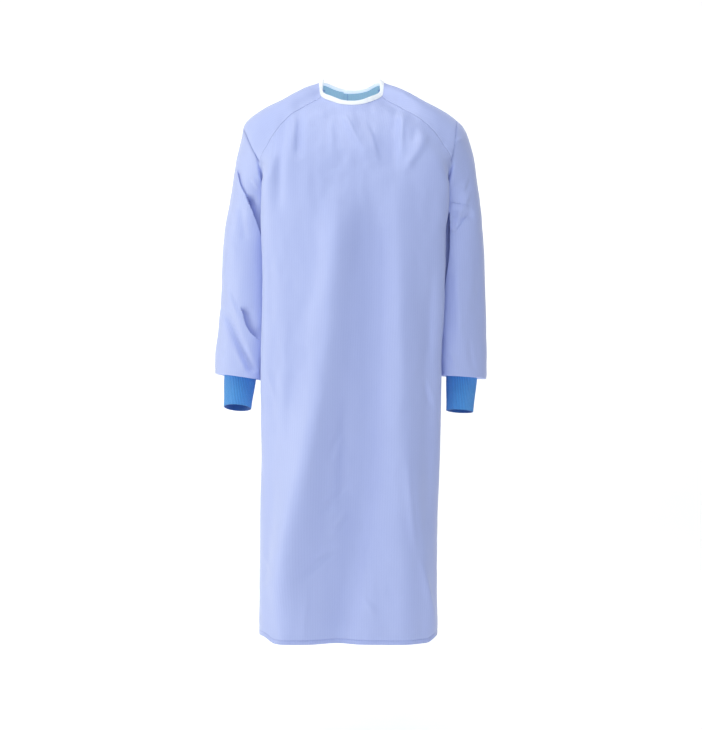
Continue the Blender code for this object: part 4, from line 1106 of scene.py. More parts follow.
def woven(name, colour, deep, **settings):
    """Striped, finely woven cloth; colour in the open, deep where it is doubled or striped."""
    finish = Finish(name, colour, **settings)
    across, down = finish.uv()
    seam, hem, lap = finish.attribute("seam"), finish.attribute("hem"), finish.attribute("lap")
    lines = stripe(across, STRIPE_PITCH, STRIPE_WIDTH)
    sewn = seam.below(SEWN_LINE, SEWN_EDGE)
    pressed_ridge_and_highlight = seam.below(SEAM_STITCH, PRESSED_EDGE) - sewn
    stitched = (hem - HEM_STITCH).math("ABSOLUTE").below(STITCHED_LINE, STITCHED_EDGE)
    doubled = hem.below(HEM_DEPTH, DOUBLED_EDGE)
    cloudy = finish.noise(finish.place(), CLOUDS, 2.0)
    streaks = finish.noise(finish.vector(across * STREAKS_ACROSS, down * STREAKS_DOWN), 1.0, 2.0)
    # the pressed band beside a seam is painted lighter, as a highlight on its ridge
    shade = 0.30 + lines * 0.16 + doubled * 0.30 - pressed_ridge_and_highlight * 0.30
    shade = shade + (cloudy - 0.5) * 0.20 + (streaks - 0.5) * 0.25
    tone = finish.mix(shade, (*colour, 1.0), (*deep, 1.0))
    tone = finish.mix(sewn * 0.35 + stitched * 0.45, tone, (*LINE_COLOUR, 1.0))
    # painted shade under the laps, darkest beside their lines
    tone = finish.mix(lap * 0.95, tone, (*LAP_SHADE_COLOUR, 1.0))
    warp = (across * (2 * pi / WEAVE_PITCH)).math("SINE")
    weft = (down * (2 * pi / WEAVE_PITCH)).math("SINE")
    crumple = finish.noise(finish.place(), CRUMPLES, 4.0)
    height = warp * weft * 0.00004 + lines * 0.00005 + crumple * 0.0004 + streaks * 0.00005
    finish.bump(height + pressed_ridge_and_highlight * 0.0003 - sewn * 0.0003, 1.0, 0.5)
    finish.set(**{"Base Color": tone, "Roughness": 0.52 + lines * 0.06 + (cloudy - 0.5) * 0.12})
    # the inner face's emission is a painted glow in its own tone
    if "Emission_Strength" in settings:
        finish.set(**{"Emission Color": tone})
    return finish.material


cloth_outside = woven("cloth_outside", OUTSIDE_COLOUR, OUTSIDE_DEEP, Sheen_Weight=0.25)
cloth_inside = woven("cloth_inside", INSIDE_COLOUR, INSIDE_DEEP, Sheen_Weight=0.10,
                     Emission_Strength=INSIDE_PAINTED_GLOW)
print("woven cloth with a stripe every", STRIPE_PITCH * 1000, "mm")

# %% [markdown]
# ### Tape, knit, thread and plastic
# The binding is a white twill tape, with its fine diagonal. The cuffs are a rib knit: the ribs are
# modelled, and the small loops of the yarn are a bump that follows them. The thread has a twist. The
# press studs are a pale, slightly glossy plastic.

# %% Tape, knit, thread and plastic
TWILL_PITCH = 0.0011
LOOP_WIDTH, LOOP_HEIGHT = 0.0014, 0.0017
# the second knit colour is the yarn's deep tone and also painted shade in the rib valleys and inside the cuff
KNIT_COLOUR, KNIT_DEEP_AND_SHADE = (0.085, 0.375, 0.840), (0.026, 0.130, 0.470)
TAPE_PAINTED_GLOW = 0.50            # painted glow on the tape's inner leg, standing in for light through the cloth and the tape


def twill_tape():
    """White tape with a fine diagonal, and a painted glow on its inner leg where light would come through it.
    """
    finish = Finish("binding_tape", (0.84, 0.88, 0.95), Roughness=0.75, Sheen_Weight=0.2)
    across, down = finish.uv()
    rib = ((across + down) * (2 * pi / TWILL_PITCH)).math("SINE")
    cloudy = finish.noise(finish.place(), 60.0, 3.0)
    shade = rib * 0.10 + (cloudy - 0.5) * 0.5 + 0.15
    tone = finish.mix(shade, (0.88, 0.91, 0.97, 1.0), (0.74, 0.80, 0.91, 1.0))
    painted_glow = finish.mix(finish.attribute("inner"), (0.0, 0.0, 0.0, 1.0), tone)
    finish.set(**{"Base Color": tone, "Emission Color": painted_glow, "Emission Strength": TAPE_PAINTED_GLOW})
    finish.bump(rib * 0.00005 + cloudy * 0.0003, 1.0, 0.6)
    return finish.material


def rib_knit():
    """Knit of small loops, with shade painted darker into the valleys between its ribs and on its inside."""
    finish = Finish("rib_knit", KNIT_COLOUR, Roughness=0.85, Sheen_Weight=0.35)
    across, down = finish.uv()
    slant = (across / LOOP_WIDTH).math("PINGPONG", 0.5)
    yarn = ((down / LOOP_HEIGHT + slant * 1.3) * (2 * pi)).math("SINE")
    fuzz = finish.noise(finish.place(), 420.0, 3.0)
    valley_shade, inside = 1.0 - finish.attribute("rib"), 1.0 - finish.attribute("ribbed")
    # painted shade: the valleys between the ribs and the inside of the tube are darkened in the colour
    shade = valley_shade * 0.70 + (0.5 - yarn * 0.5) * 0.15 + (fuzz - 0.5) * 0.3 + inside
    finish.set(**{"Base Color": finish.mix(shade, (*KNIT_COLOUR, 1.0), (*KNIT_DEEP_AND_SHADE, 1.0))})
    finish.bump(yarn * 0.00016 + fuzz * 0.00020, 1.0, 0.8)
    return finish.material


def thread(name, light, dark):
    """Spun thread, with a little of its dark colour in its twist."""
    finish = Finish(name, light, Roughness=0.6, Sheen_Weight=0.2)
    twist = finish.noise(finish.place(), 900.0, 2.0)
    finish.set(**{"Base Color": finish.mix(twist, (*light, 1.0), (*dark, 1.0))})
    return finish.material


def stud_plastic():
    """Pale plastic, slightly worn."""
    finish = Finish("stud_plastic", (0.78, 0.82, 0.92), Roughness=0.35, Coat_Weight=0.2)
    worn = finish.noise(finish.place(), 700.0, 4.0)
    finish.set(**{"Base Color": finish.mix(worn, (0.80, 0.84, 0.93, 1.0), (0.72, 0.76, 0.88, 1.0))})
    finish.set(Roughness=0.28 + worn * 0.18)
    finish.bump(worn, 0.00004)
    return finish.material


binding_tape, knit, plastic = twill_tape(), rib_knit(), stud_plastic()
cloth_thread = thread("cloth_thread", (0.47, 0.53, 0.88), (0.34, 0.40, 0.76))
white_thread = thread("white_thread", (0.90, 0.92, 0.97), (0.74, 0.79, 0.90))
finishes = (cloth_outside, cloth_inside, binding_tape, knit, plastic, cloth_thread, white_thread)
print("finishes:", ", ".join(material.name for material in finishes))

# %% [markdown]
# ## Panels of cloth
# A grid becomes a mesh with an outer face, an inner face and a rim where it is cut. The map of each
# panel is laid along its own grain: across is measured from the middle of the panel, and down along
# it. The panel also stores each point's distance to the nearest seam and hem, for the finish.

# %% Grids into meshes
CLOTH_ANGLE = 50            # degrees from which an edge of cloth is shown sharp


def mapped_mesh(name, points, corners, loops, values, materials):
    """An object from four-sided faces: points, the four of each face, their map, and point values."""
    used, corners = np.unique(corners, return_inverse=True)
    mesh = bpy.data.meshes.new(name)
    mesh.from_pydata(points[used].tolist(), [], corners.reshape(-1, 4).tolist())
    for material in materials:
        mesh.materials.append(material)
    mesh.uv_layers.new(name="cloth").data.foreach_set("uv", loops.ravel())
    for label, grid in values.items():
        mesh.attributes.new(label, "FLOAT", "POINT").data.foreach_set("value", grid[used])
    mesh.shade_smooth()
    return add_object(name, mesh)


def grid_mesh(name, outer, inner, closed, maps, materials, values):
    """An object from two grids: outer faces, inner faces and the rims between them."""
    rows, columns = outer.shape[:2]
    index = np.arange(rows * columns).reshape(rows, columns)
    if closed is not None:
        index[closed:, -1] = index[closed:, 0]
    other = index + rows * columns
    i, j = (part.ravel() for part in np.mgrid[0:rows - 1, 0:columns - 1])
    top, bottom = np.arange(columns - 1), np.arange(columns - 1, 0, -1)
    side = np.arange(rows - 1 if closed is None else closed)
    first, last = np.zeros_like(top), np.full_like(top, rows - 1)
    left, right = np.zeros_like(side), np.full_like(side, columns - 1)
    groups = [
        [(0, i, j), (0, i + 1, j), (0, i + 1, j + 1), (0, i, j + 1)],
        [(1, i, j), (1, i, j + 1), (1, i + 1, j + 1), (1, i + 1, j)],
        [(0, first, top), (0, first, top + 1), (1, first, top + 1), (1, first, top)],
        [(0, last, bottom), (0, last, bottom - 1), (1, last, bottom - 1), (1, last, bottom)],
        [(0, side, right), (0, side + 1, right), (1, side + 1, right), (1, side, right)],
        [(0, side, left), (1, side, left), (1, side + 1, left), (0, side + 1, left)],
    ]
    faces, loops, kinds = [], [], []
    for kind, corners in enumerate(groups):
        faces.append(np.stack([(other if face else index)[a, b] for face, a, b in corners], axis=1))
        loops.append(np.stack([maps[a, b] for _, a, b in corners], axis=1).reshape(-1, 2))
        kinds.append(np.full(len(faces[-1]), 1 if kind == 1 else 0))
    points = np.concatenate((outer.reshape(-1, 3), inner.reshape(-1, 3)))
    values = {label: np.tile(grid.ravel(), 2) for label, grid in values.items()}
    made = mapped_mesh(name, points, np.concatenate(faces), np.concatenate(loops), values, materials)
    if len(materials) > 1:
        made.data.polygons.foreach_set("material_index", np.concatenate(kinds))
    made.data.set_sharp_from_angle(angle=radians(CLOTH_ANGLE))
    return made


def cloth_map(across, line):
    """Metres across the cloth, as given, and down one of its columns."""
    return np.stack((across, run_of(line)[:, None] + 0 * across), axis=-1)


made = {}
for name, piece in pieces.items():
    columns = piece["outer"].shape[1]
    middle = {"back_left": columns - 1, "back_right": 0}.get(name, columns // 2)
    across = piece["from_first"] - piece["from_first"][:, middle:middle + 1]
    maps = cloth_map(across, piece["outer"][:, middle])
    made[name] = grid_mesh(name + "_cloth", piece["outer"], piece["inner"], piece["closed"], maps,
                           (cloth_outside, cloth_inside), piece["shown"])
    print(made[name].name, len(made[name].data.polygons) * 2, "triangles")

# %% [markdown]
# ## Seam allowances
# Inside the gown, the cut edges of each seam are pressed to one side and overlocked. They show at
# the neck and from below. A narrow strip, laid just inside the two edges, stands for both of them
# and closes the seam.

# %% Seam allowances
STRIP_DROP = 0.00035        # how far inside the cloth the strip lies
STRIP_COLUMNS = (7, 3)      # columns from the seam at which the strip has its edge and its middle


def allowance(before, after, rows):
    """Grids of a strip across a seam, two columns on either side of it."""
    first, second = pieces[before], pieces[after]
    start = len(NECK_SHARES) if rows is YOKE else 1
    edge, middle = STRIP_COLUMNS
    picks = [(first, -1 - edge), (first, -1 - middle), (second, middle), (second, edge)]
    face, normal = (np.stack([piece[key][rows, column][start:-1] for piece, column in picks], axis=1)
                    for key in ("inner", "normal"))
    outer = face - normal * STRIP_DROP
    return outer, outer - normal * CLOTH


strips = []
for number, (before, after, rows) in enumerate(SEAMS):
    outer, inner = allowance(before, after, rows)
    edge, middle = CLOSE[list(STRIP_COLUMNS)]
    across = np.array((-edge, -middle, middle, edge)) + np.zeros((len(outer), 1))
    plain = {"seam": 0 * across + FAR, "hem": 0 * across + FAR, "lap": 0 * across}
    strips.append(grid_mesh(f"strip_{number}", outer, inner, None, cloth_map(across, outer[:, 0]),
                            (cloth_outside,), plain))


def join(objects, name):
    """One object from several, by way of a join of their meshes."""
    with bpy.context.temp_override(active_object=objects[0], selected_editable_objects=objects):
        bpy.ops.object.join()
    objects[0].name = objects[0].data.name = name
    return objects[0]


made["allowances"] = join(strips, "seam_allowances")
print("strips:", len(made["allowances"].data.polygons), "faces")

# %% [markdown]
# ## Neck binding
# A tape is folded over the raw edge of the neck and stitched through. Its section goes up the
# outside, over the edge and down the inside. It is a little full between the fold and the stitches,
# which makes it round, and it runs on past the centre back on both halves.

# %% Neck binding
TAPE = 0.0005               # thickness of the tape
TAPE_OFF = 0.0003           # room between it and the cloth
NECK_ROWS = len(NECK_SHARES)
BULGE = (0.0, 0.0004, 0.0007, 0.0004)   # fullness of the outer leg, from its lower edge up
FOLD_ROOM, FOLD_RISE = 0.0003, 0.0002   # more room round the edge, and how far the fold stands up
INNER_ROOM = 0.0002         # more room inside
INNER_ROWS = (0, 1, 2)      # rows of the cloth that the inner leg covers
GLOW_FROM, GLOW_REACH = 5, 2            # points of the section at which the painted glow of its inner leg begins


def neck_stations():
    """Points and normals of the neck's rows, in order round the neck."""
    stations = []
    for name in ("back_right", "sleeve_right", "front_panel", "sleeve_left", "back_left"):
        piece = pieces[name]
        for column in range(piece["outer"].shape[1]):
            station = np.array([piece[key][:NECK_ROWS, column] for key in ("outer", "inner", "normal")])
            if stations and column == 0:
                stations[-1] = (stations[-1] + station) / 2
            else:
                stations.append(station)
    return np.array(stations)


def tape_section(stations, off):
    """The tape's face at a distance from the cloth: up outside, over the edge, down inside."""
    outer, inner, normal = stations[:, 0], stations[:, 1], unit(stations[:, 2])
    rise = unit(outer[:, 0] - outer[:, -1])
    fullness = np.array(BULGE)[:, None]
    legs = [outer[:, row] + normal[:, row] * (off + fullness[3 - row]) for row in (3, 2, 1, 0)]
    middle = (outer[:, 0] + inner[:, 0]) / 2
    half = CLOTH / 2 + off + FOLD_ROOM
    for angle in (pi / 4, pi / 2, 3 * pi / 4):
        way = normal[:, 0] * cos(angle) + rise * sin(angle)
        legs.append(middle + way * half + rise * FOLD_RISE)
    legs += [inner[:, row] - normal[:, row] * (off + INNER_ROOM) for row in INNER_ROWS]
    return np.stack(legs, axis=1)


stations = neck_stations()
outside, lining = tape_section(stations, TAPE_OFF + TAPE), tape_section(stations, TAPE_OFF)
round_neck = run_of(outside[:, 4])[:, None]
up_tape = np.mean([run_of(line) for line in outside], axis=0)[None, :]
tape_map = np.stack(np.broadcast_arrays(round_neck, up_tape), axis=-1)
# share of the tape's section that carries the painted glow
inner_leg = smooth((np.arange(outside.shape[1]) - GLOW_FROM) / GLOW_REACH) + np.zeros(outside.shape[:2])
# The columns are taken backwards, so that the faces point away from the cloth that the tape wraps
made["binding"] = grid_mesh("neck_binding_tape", outside[:, ::-1], lining[:, ::-1], None, tape_map[:, ::-1],
                            (binding_tape,), {"inner": inner_leg[:, ::-1]})
print("binding", round(float(round_neck[-1, 0]), 3), "m long")

# %% [markdown]
# ## Knit cuffs
# A rib-knit cuff is a tube of stretchy knit, folded double at its lower edge and sewn to the gathered
# end of the sleeve. The tube is a plain grid, and Geometry Nodes raise the ribs on it: one formula
# of the angle, with its number, depth and wobble as named inputs, instead of fifty modelled ribs.

# %% The tube of a cuff
CUFF_COLUMNS = 432
CUFF_ROWS, INSIDE_ROWS = 44, 12
EDGE_STEPS = 6              # steps round the lower edge
KNIT = 0.0014               # thickness of the knit, folded double
CUFF_ROOM = 0.0006          # how far its face lies inside the radii of the table
CUFF_INSIDE = 0.045         # how far up the inside of the tube is made
INSIDE_WIDER = 0.6          # how far the inside widens upwards, as a share of the outside


def cuff_tube(place):
    """Grid of the tube, from inside the sleeve down, round the lower edge and up inside."""
    length, top, bottom = (CUFFS[name][place] for name in ("length", "top", "bottom"))
    edge = KNIT / 2
    down = np.linspace(-CUFF_TUCK, length - edge, CUFF_ROWS)
    radius = top - CUFF_ROOM + (bottom - top) * smooth(down / length)
    turn = np.linspace(0, pi, EDGE_STEPS + 1)[1:-1]
    up = np.linspace(length - edge, length - CUFF_INSIDE, INSIDE_ROWS)
    reach = np.concatenate((down, length - edge + np.sin(turn) * edge, up))
    inner = bottom - CUFF_ROOM - KNIT + (top - bottom) * (1 - smooth(up / length)) * INSIDE_WIDER
    radii = np.concatenate((radius, bottom - CUFF_ROOM - edge + np.cos(turn) * edge, inner))
    angles = np.linspace(0, 2 * pi, CUFF_COLUMNS + 1)
    downward = cuff_frame(place)[3]
    tube = [cuff_ring(place, np.full(CUFF_COLUMNS + 1, r), angles) + downward * d
            for r, d in zip(radii, reach)]
    return np.array(tube), angles


def tube_mesh(name, tube, maps, values, material):
    """An open tube as a mesh; its last column is its first."""
    rows, columns = tube.shape[:2]
    index = np.arange(rows * columns).reshape(rows, columns)
    index[:, -1] = index[:, 0]
    i, j = (part.ravel() for part in np.mgrid[0:rows - 1, 0:columns - 1])
    corners = [(i, j), (i + 1, j), (i + 1, j + 1), (i, j + 1)]
    faces = np.stack([index[a, b] for a, b in corners], axis=1)
    loops = np.stack([maps[a, b] for a, b in corners], axis=1)
    values = {label: grid.ravel() for label, grid in values.items()}
    return mapped_mesh(name, tube.reshape(-1, 3), faces, loops, values, (material,))


# %% Geometry Nodes: a tree with named inputs
def new_tree(name, inputs):
    """A Geometry Nodes tree with a mesh in and out, and the named inputs given as type and value."""
    tree = bpy.data.node_groups.new(name, "GeometryNodeTree")
    face = tree.interface
    face.new_socket("Geometry", in_out="INPUT", socket_type="NodeSocketGeometry")
    face.new_socket("Geometry", in_out="OUTPUT", socket_type="NodeSocketGeometry")
    for label, (kind, value) in inputs.items():
        socket = face.new_socket(label, in_out="INPUT", socket_type="NodeSocket" + kind)
        if value is not None:
            socket.default_value = value
    return tree


class Steps(Nodes):
    """The steps of a Geometry Nodes tree; each call adds one and gives its result."""

    def __init__(self, tree):
        super().__init__(tree)
        self.source = tree.nodes.new("NodeGroupInput").outputs
        self.result = tree.nodes.new("NodeGroupOutput").inputs[0]

    def __call__(self, kind, settings=None, inputs=None, output=0):
        return self.node(kind, settings, inputs).outputs[output]

    def math(self, operation, *values):
        """The result of a Math node on these values."""
        return self("ShaderNodeMath", {"operation": operation}, dict(enumerate(values)))

    def attribute(self, name, kind="FLOAT"):
        """A value that the mesh stores for each of its points."""
        return self("GeometryNodeInputNamedAttribute", {"data_type": kind}, {"Name": name})


def apply_tree(made, tree, values):
    """Run a tree on an object with these inputs and keep the result as its plain mesh."""
    modifier = made.modifiers.new(tree.name, "NODES")
    modifier.node_group = tree
    for item in tree.interface.items_tree:
        if item.in_out == "INPUT" and item.name in values:
            modifier[item.identifier] = values[item.name]
    ready = made.evaluated_get(bpy.context.evaluated_depsgraph_get())
    mesh = bpy.data.meshes.new_from_object(ready)
    made.modifiers.remove(modifier)
    mesh.name = made.name
    made.data = mesh
    return made


# %% Ribs on the cuffs
def rib_tree():
    """Pushes a tube's points out along their normals into upright ribs."""
    tree = new_tree("cuff_ribs", {
        "Ribs": ("Int", 56), "Depth": ("Float", 0.0010), "Wobble": ("Float", 0.25),
        "Seed": ("Float", 3.0), "Material": ("Material", None),
    })
    step = Steps(tree)
    source = step.source
    turn = step.attribute("turn")
    place = step("GeometryNodeInputPosition")
    noise = step("ShaderNodeTexNoise", {"noise_dimensions": "4D"},
                 {"Vector": place, "W": source["Seed"], "Scale": 30.0, "Detail": 1.0})
    wobble = step.math("MULTIPLY", step.math("SUBTRACT", noise, 0.5), source["Wobble"])
    count = step.math("ADD", step.math("MULTIPLY", turn, source["Ribs"]), wobble)
    rib = step.math("SINE", step.math("MULTIPLY", step.math("FRACT", count), pi))
    rib = step.math("POWER", step.math("ABSOLUTE", rib), 0.75)
    amount = step.math("MULTIPLY", step.math("MULTIPLY", rib, source["Depth"]), step.attribute("ribbed"))
    stored = step("GeometryNodeStoreNamedAttribute", {"data_type": "FLOAT", "domain": "POINT"},
                  {"Geometry": source["Geometry"], "Name": "rib", "Value": rib})
    push = step("ShaderNodeVectorMath", {"operation": "SCALE"},
                {"Vector": step("GeometryNodeInputNormal"), "Scale": amount})
    moved = step("GeometryNodeSetPosition", {}, {"Geometry": stored, "Offset": push})
    real = step("GeometryNodeRealizeInstances", {}, {"Geometry": moved})
    finished = step("GeometryNodeSetMaterial", {}, {"Geometry": real, "Material": source["Material"]})
    tree.links.new(finished, step.result)
    return tree


RIB_COUNT, RIB_DEPTH, RIB_WOBBLE, RIB_SEED = 56, 0.0010, 0.3, 3.0
RIBS_END, RIBS_FADE = CUFF_ROWS + 4, 6  # row at which the ribs end, and rows in which they fade
ribs = rib_tree()
for place, side in enumerate(CUFFS["name"]):
    tube, angles = cuff_tube(place)
    across = np.broadcast_to(angles / (2 * pi), tube.shape[:2])
    maps = cloth_map(across * RIB_COUNT * LOOP_WIDTH * 2, tube[:, 0])
    outside_only = smooth((RIBS_END - np.arange(len(tube))) / RIBS_FADE)[:, None] + 0 * across
    made["cuff_" + side] = tube_mesh(f"cuff_{side}_knit", tube, maps,
                                     {"turn": across, "ribbed": outside_only}, knit)
    apply_tree(made["cuff_" + side], ribs, {"Ribs": RIB_COUNT, "Depth": RIB_DEPTH, "Wobble": RIB_WOBBLE,
                                            "Seed": RIB_SEED + place, "Material": knit})
    print(f"cuff_{side}", len(made["cuff_" + side].data.polygons) * 2, "triangles")

# %% [markdown]
# ## Stitches
# Every stitch is a short bead of thread that lies along its seam. Geometry Nodes walk along the
# lines of points, set a point every few millimetres and put a bead on each, turned along the line
# and lying flat on the cloth.

# %% Geometry Nodes: stitches along lines
def stitch_tree():
    """Sets a bead of thread at even steps along each line."""
    tree = new_tree("stitches", {
        "Pitch": ("Float", 0.0030), "Length": ("Float", 0.0022), "Thickness": ("Float", 0.0005),
        "Unevenness": ("Float", 0.15), "Seed": ("Int", 5), "Material": ("Material", None),
    })
    step = Steps(tree)
    source = step.source
    line = step("GeometryNodeMeshToCurve", {}, {"Mesh": source["Geometry"]})
    even = step("GeometryNodeResampleCurve", {"mode": "LENGTH"}, {"Curve": line, "Length": source["Pitch"]})
    bead = step("GeometryNodeMeshIcoSphere", {}, {"Radius": 0.5, "Subdivisions": 1})
    way = step("FunctionNodeAxesToRotation", {"primary_axis": "X", "secondary_axis": "Z"},
               {0: step("GeometryNodeInputTangent"), 1: step.attribute("out", "FLOAT_VECTOR")})
    vary = step("FunctionNodeRandomValue", {"data_type": "FLOAT"},
                {"Min": -1.0, "Max": 1.0, "Seed": source["Seed"]}, 1)
    long = step.math("MULTIPLY", source["Length"],
                     step.math("MULTIPLY_ADD", vary, source["Unevenness"], 1.0))
    size = step("ShaderNodeCombineXYZ", {}, {0: long, 1: source["Thickness"], 2: source["Thickness"]})
    beads = step("GeometryNodeInstanceOnPoints", {},
                 {"Points": even, "Instance": bead, "Rotation": way, "Scale": size})
    real = step("GeometryNodeRealizeInstances", {}, {"Geometry": beads})
    soft = step("GeometryNodeSetShadeSmooth", {}, {"Geometry": real})
    finished = step("GeometryNodeSetMaterial", {}, {"Geometry": soft, "Material": source["Material"]})
    tree.links.new(finished, step.result)
    return tree


def stitch(name, lines, material, **sizes):
    """Stitches along several lines, each given as its points and the cloth's normals there."""
    points, outs, edges = [], [], []
    for line, out in lines:
        start = sum(len(part) for part in points)
        points.append(line)
        outs.append(out)
        edges += [(start + k, start + k + 1) for k in range(len(line) - 1)]
    mesh = bpy.data.meshes.new(name)
    mesh.from_pydata(np.concatenate(points).tolist(), edges, [])
    out = mesh.attributes.new("out", "FLOAT_VECTOR", "POINT")
    out.data.foreach_set("vector", np.concatenate(outs).ravel())
    made = add_object(name, mesh)
    apply_tree(made, stitches, {"Material": material, **sizes})
    print(name, len(made.data.polygons) // 20, "stitches")
    return made


stitches = stitch_tree()

# %% Lines to stitch along
THREAD_OFF = 0.00012        # how far the middle of a stitch stands off the cloth
FACES = {"outer": 1.0, "inner": -1.0}   # which way each face of the cloth looks


def at_distance(piece, face, rows, from_edge, last):
    """Points and normals at a distance from the first or last column, on either face."""
    lengths = piece["from_last" if last else "from_first"][rows]
    order = slice(None, None, -1) if last else slice(None)
    line, normal = (np.array([between(from_edge, row[order], values[order])
                              for row, values in zip(lengths, piece[key][rows])])
                    for key in (face, "normal"))
    normal = unit(normal) * FACES[face]
    return line + normal * THREAD_OFF, normal


def at_level(piece, face, level):
    """Points and normals along a row at a level, on either face."""
    levels = piece["levels"][:, 0]
    low = int(np.clip(np.searchsorted(levels, level) - 1, 0, len(levels) - 2))
    share = (level - levels[low]) / (levels[low + 1] - levels[low])
    line = piece[face][low] * (1 - share) + piece[face][low + 1] * share
    normal = unit(piece["normal"][low]) * FACES[face]
    return line + normal * THREAD_OFF, normal


hem_level = FRONT["down"][-1] - HEM_STITCH
whole = slice(len(NECK_SHARES), None)
hem_lines = [at_level(pieces[name], face, hem_level)
             for name in ("front_panel", "back_left", "back_right") for face in FACES]
hem_lines += [at_distance(pieces[name], face, whole, HEM_STITCH, last)
              for name, last in (("back_left", True), ("back_right", False)) for face in FACES]
made["hem_stitches"] = stitch("hem_stitches", hem_lines, cloth_thread, Pitch=0.0030, Length=0.0023,
                              Thickness=0.00042)
seam_lines = []
for before, after, rows in SEAMS:
    rows = slice(len(NECK_SHARES), UNDERARM_ROW - 2) if rows is YOKE else slice(UNDERARM_ROW + 2, None)
    holder, last = (before, True) if before.startswith(("front", "back")) else (after, False)
    seam_lines.append(at_distance(pieces[holder], "outer", rows, SEAM_STITCH, last))
made["seam_stitches"] = stitch("seam_stitches", seam_lines, cloth_thread, Pitch=0.0030, Length=0.0022,
                               Thickness=0.00036)
tape_normal = unit(stations[:, 2, 2])
TAPE_THREAD_OFF = 0.0001
outer_line = (outside[:, 0] * 0.6 + outside[:, 1] * 0.4) + tape_normal * TAPE_THREAD_OFF
inner_line = (outside[:, -1] * 0.5 + outside[:, -2] * 0.5) - tape_normal * TAPE_THREAD_OFF
tape_lines = [(outer_line, tape_normal), (inner_line, -tape_normal)]
made["binding_stitches"] = stitch("binding_stitches", tape_lines, white_thread, Pitch=0.0028, Length=0.0021,
                                  Thickness=0.00045)

# %% [markdown]
# ## Press studs
# Two plain studs close the back. Each has a domed cap outside, a post between the two layers and a
# rivet inside. They are turned shapes: a short profile, spun round its axis.

# %% Press studs
STUDS = table(("name", "down"), ("neck", 0.040), ("waist", 0.480))
STUD_RADIUS, STUD_CAP = 0.0062, 0.0016  # radius and height of a cap
POST_SHARE, RIVET_SHARE = 0.7, 0.8      # radii of the post and the rivet, as shares of the cap's
STUD_ROOM, RIVET_ROOM = 0.0002, 0.0003  # room between a stud's parts and the cloth
STUD_SIDES = 40
STUD_ANGLE = 40             # degrees from which an edge of a stud is shown sharp
# Profiles from the base's edge to the middle, as shares of radius and height
CAP_PROFILE = ((0.0, 0.0), (0.92, 0.0), (1.0, 0.18), (1.0, 0.42), (0.94, 0.66), (0.82, 0.82), (0.66, 0.90),
               (0.62, 0.82), (0.58, 0.80), (0.54, 0.88), (0.40, 0.97), (0.20, 1.0), (0.0, 1.0))
POST_PROFILE = ((0.0, 0.0), (0.96, 0.0), (1.0, 0.2), (1.0, 0.8), (0.96, 1.0), (0.0, 1.0))


def turned(name, centre, axis, radius, height, profile):
    """A closed shape turned round an axis that starts at the centre of its base."""
    side = unit(np.cross(axis, (0.0, 0.0, 1.0)))
    other = np.cross(axis, side)
    angles = np.linspace(0, 2 * pi, STUD_SIDES, endpoint=False)
    circle = np.cos(angles)[:, None] * side + np.sin(angles)[:, None] * other
    rings = [centre + axis * (height * up) + circle * radius * wide for wide, up in profile[1:-1]]
    points = [tuple(centre)] + [tuple(p) for ring in rings for p in ring] + [tuple(centre + axis * height)]
    faces = []
    for k in range(STUD_SIDES):
        after = (k + 1) % STUD_SIDES
        faces.append((0, 1 + after, 1 + k))
        for ring in range(len(rings) - 1):
            a, b = 1 + ring * STUD_SIDES, 1 + (ring + 1) * STUD_SIDES
            faces.append((a + k, a + after, b + after, b + k))
        top = 1 + (len(rings) - 1) * STUD_SIDES
        faces.append((top + k, top + after, len(points) - 1))
    mesh = bpy.data.meshes.new(name)
    mesh.from_pydata(points, [], faces)
    mesh.materials.append(plastic)
    mesh.shade_smooth()
    mesh.set_sharp_from_angle(angle=radians(STUD_ANGLE))
    return add_object(name, mesh)


def surface_point(piece, level, x):
    """Point and normal on the outer face at a level, where it crosses x."""
    line, normal = at_level(piece, "outer", level)
    order = np.argsort(line[:, 0])
    place, out = (between(x, line[order, 0], values[order]) for values in (line, normal))
    return place, unit(out)


for name, down in zip(STUDS["name"], STUDS["down"]):
    low, high = (np.array(corner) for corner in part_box(f"snap_{name}_cap"))
    x = float(low[0] + high[0]) / 2
    upper, out = surface_point(pieces["back_right"], down, x)
    under, _ = surface_point(pieces["back_left"], down, x)
    room = np.dot(upper - under, out) - CLOTH
    post_height, behind = room - 2 * STUD_ROOM, CLOTH + RIVET_ROOM
    shapes = (("cap", upper + out * STUD_ROOM, out, STUD_RADIUS, STUD_CAP, CAP_PROFILE),
              ("stud", under + out * STUD_ROOM, out, STUD_RADIUS * POST_SHARE, post_height, POST_PROFILE),
              ("rivet", under - out * behind, -out, STUD_RADIUS * RIVET_SHARE, STUD_CAP, CAP_PROFILE))
    for part, *shape in shapes:
        made[f"snap_{name}_{part}"] = turned(f"snap_{name}_{part}_turned", *shape)
    print("stud at the", name, "with", round(float(room) * 1000, 2), "mm between the layers")

# %% [markdown]
# ## Joining the frame
# Each piece rides on the one body of the gown and takes the place of its plain solid.

# %% Join the frame
NODE_OF = {"binding": "neck_binding"}
for name, thing in made.items():
    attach(thing, "root")
    node = NODE_OF.get(name, name)
    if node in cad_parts:
        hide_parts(node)
print(len(made), "pieces join the frame")

# %% [markdown]
# ## Floor and light
# The gown hangs before a white sweep. A large, slightly warm light at its left gives the folds their
# form, two from above light the shoulders and the neck, and two weak bluish ones from the front and the
# right open the shadows. The sweep is so bright that it turns plain white, as in a studio cut-out.

# %% Floor and light
FLOOR_Z = -1.46
FLOOR_GLOW, WORLD_LIGHT = 0.40, 0.20
FLOOR_COLOUR, WORLD_COLOUR = (0.92, 0.92, 0.92), (0.76, 0.85, 1.0)
SWEEP_BACK, SWEEP_RADIUS, SWEEP_HALF = 2.6, 1.0, 6.0    # where it bends, how, and half its width
SWEEP_FRONT, SWEEP_TOP = -9.0, 5.0
SWEEP_POINTS = 13           # points round the bend
GOWN_MIDDLE = (0.0, 0.0, -0.6)


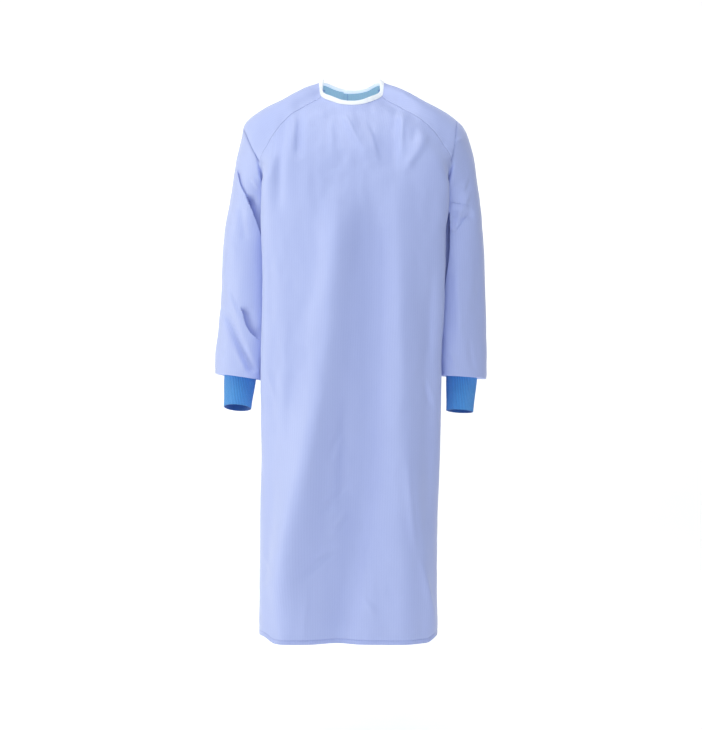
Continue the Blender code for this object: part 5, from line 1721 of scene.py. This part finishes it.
def sweep():
    """A floor that curves up into a backdrop behind the gown."""
    bend = [(SWEEP_BACK + sin(a) * SWEEP_RADIUS, FLOOR_Z + (1 - cos(a)) * SWEEP_RADIUS)
            for a in np.linspace(0, pi / 2, SWEEP_POINTS)]
    line = [(SWEEP_FRONT, FLOOR_Z)] + bend + [(SWEEP_BACK + SWEEP_RADIUS, SWEEP_TOP)]
    points = [(x, y, z) for y, z in line for x in (-SWEEP_HALF, SWEEP_HALF)]
    faces = [(2 * k, 2 * k + 1, 2 * k + 3, 2 * k + 2) for k in range(len(line) - 1)]
    mesh = bpy.data.meshes.new("floor")
    mesh.from_pydata(points, [], faces)
    mesh.shade_smooth()
    finish = Finish("white_floor", FLOOR_COLOUR, Roughness=0.9)
    finish.set(**{"Emission Color": (1.0, 1.0, 1.0, 1.0), "Emission Strength": FLOOR_GLOW})
    mesh.materials.append(finish.material)
    floor = add_object("floor", mesh)


def area_light(name, place, size, power, colour):
    """A light of a width and height that faces the middle of the gown."""
    light = bpy.data.lights.new(name, "AREA")
    light.shape, light.size, light.size_y = "RECTANGLE", *size
    light.energy, light.color = power, colour
    made = add_object(name, light)
    made.location = place
    way = np.array(GOWN_MIDDLE) - np.array(place)
    flat = np.hypot(way[0], way[1])
    made.rotation_euler = (pi / 2 + atan2(way[2], flat), 0.0, atan2(way[1], way[0]) - pi / 2)


sweep()
# Each light's place, width and height in metres, power in watts, and colour
LIGHTS = table(
    ("name", "place", "size", "power", "colour"),
    ("side", (-3.4, -0.7, 0.1), (1.6, 2.2), 59.0, (1.0, 0.970, 0.78)),
    ("top_front", (-0.3, -1.9, 2.3), (1.6, 1.6), 39.0, (1.0, 1.0, 0.95)),
    ("top", (-0.2, -0.5, 2.8), (1.6, 1.6), 38.0, (1.0, 1.0, 0.95)),
    ("front", (-0.4, -4.2, 0.2), (1.8, 1.8), 23.0, (0.82, 0.90, 1.0)),
    ("right", (2.6, -3.2, 0.4), (1.6, 1.6), 7.0, (0.80, 0.88, 1.0)),
)
for light in rows_of(LIGHTS):
    area_light(**light)
world = bpy.data.worlds.new("studio")
bpy.context.scene.world = world
world.use_nodes = True
sky = world.node_tree.nodes["Background"].inputs
sky["Color"].default_value = (*WORLD_COLOUR, 1.0)
sky["Strength"].default_value = WORLD_LIGHT
bpy.context.scene.view_settings.view_transform = "Standard"
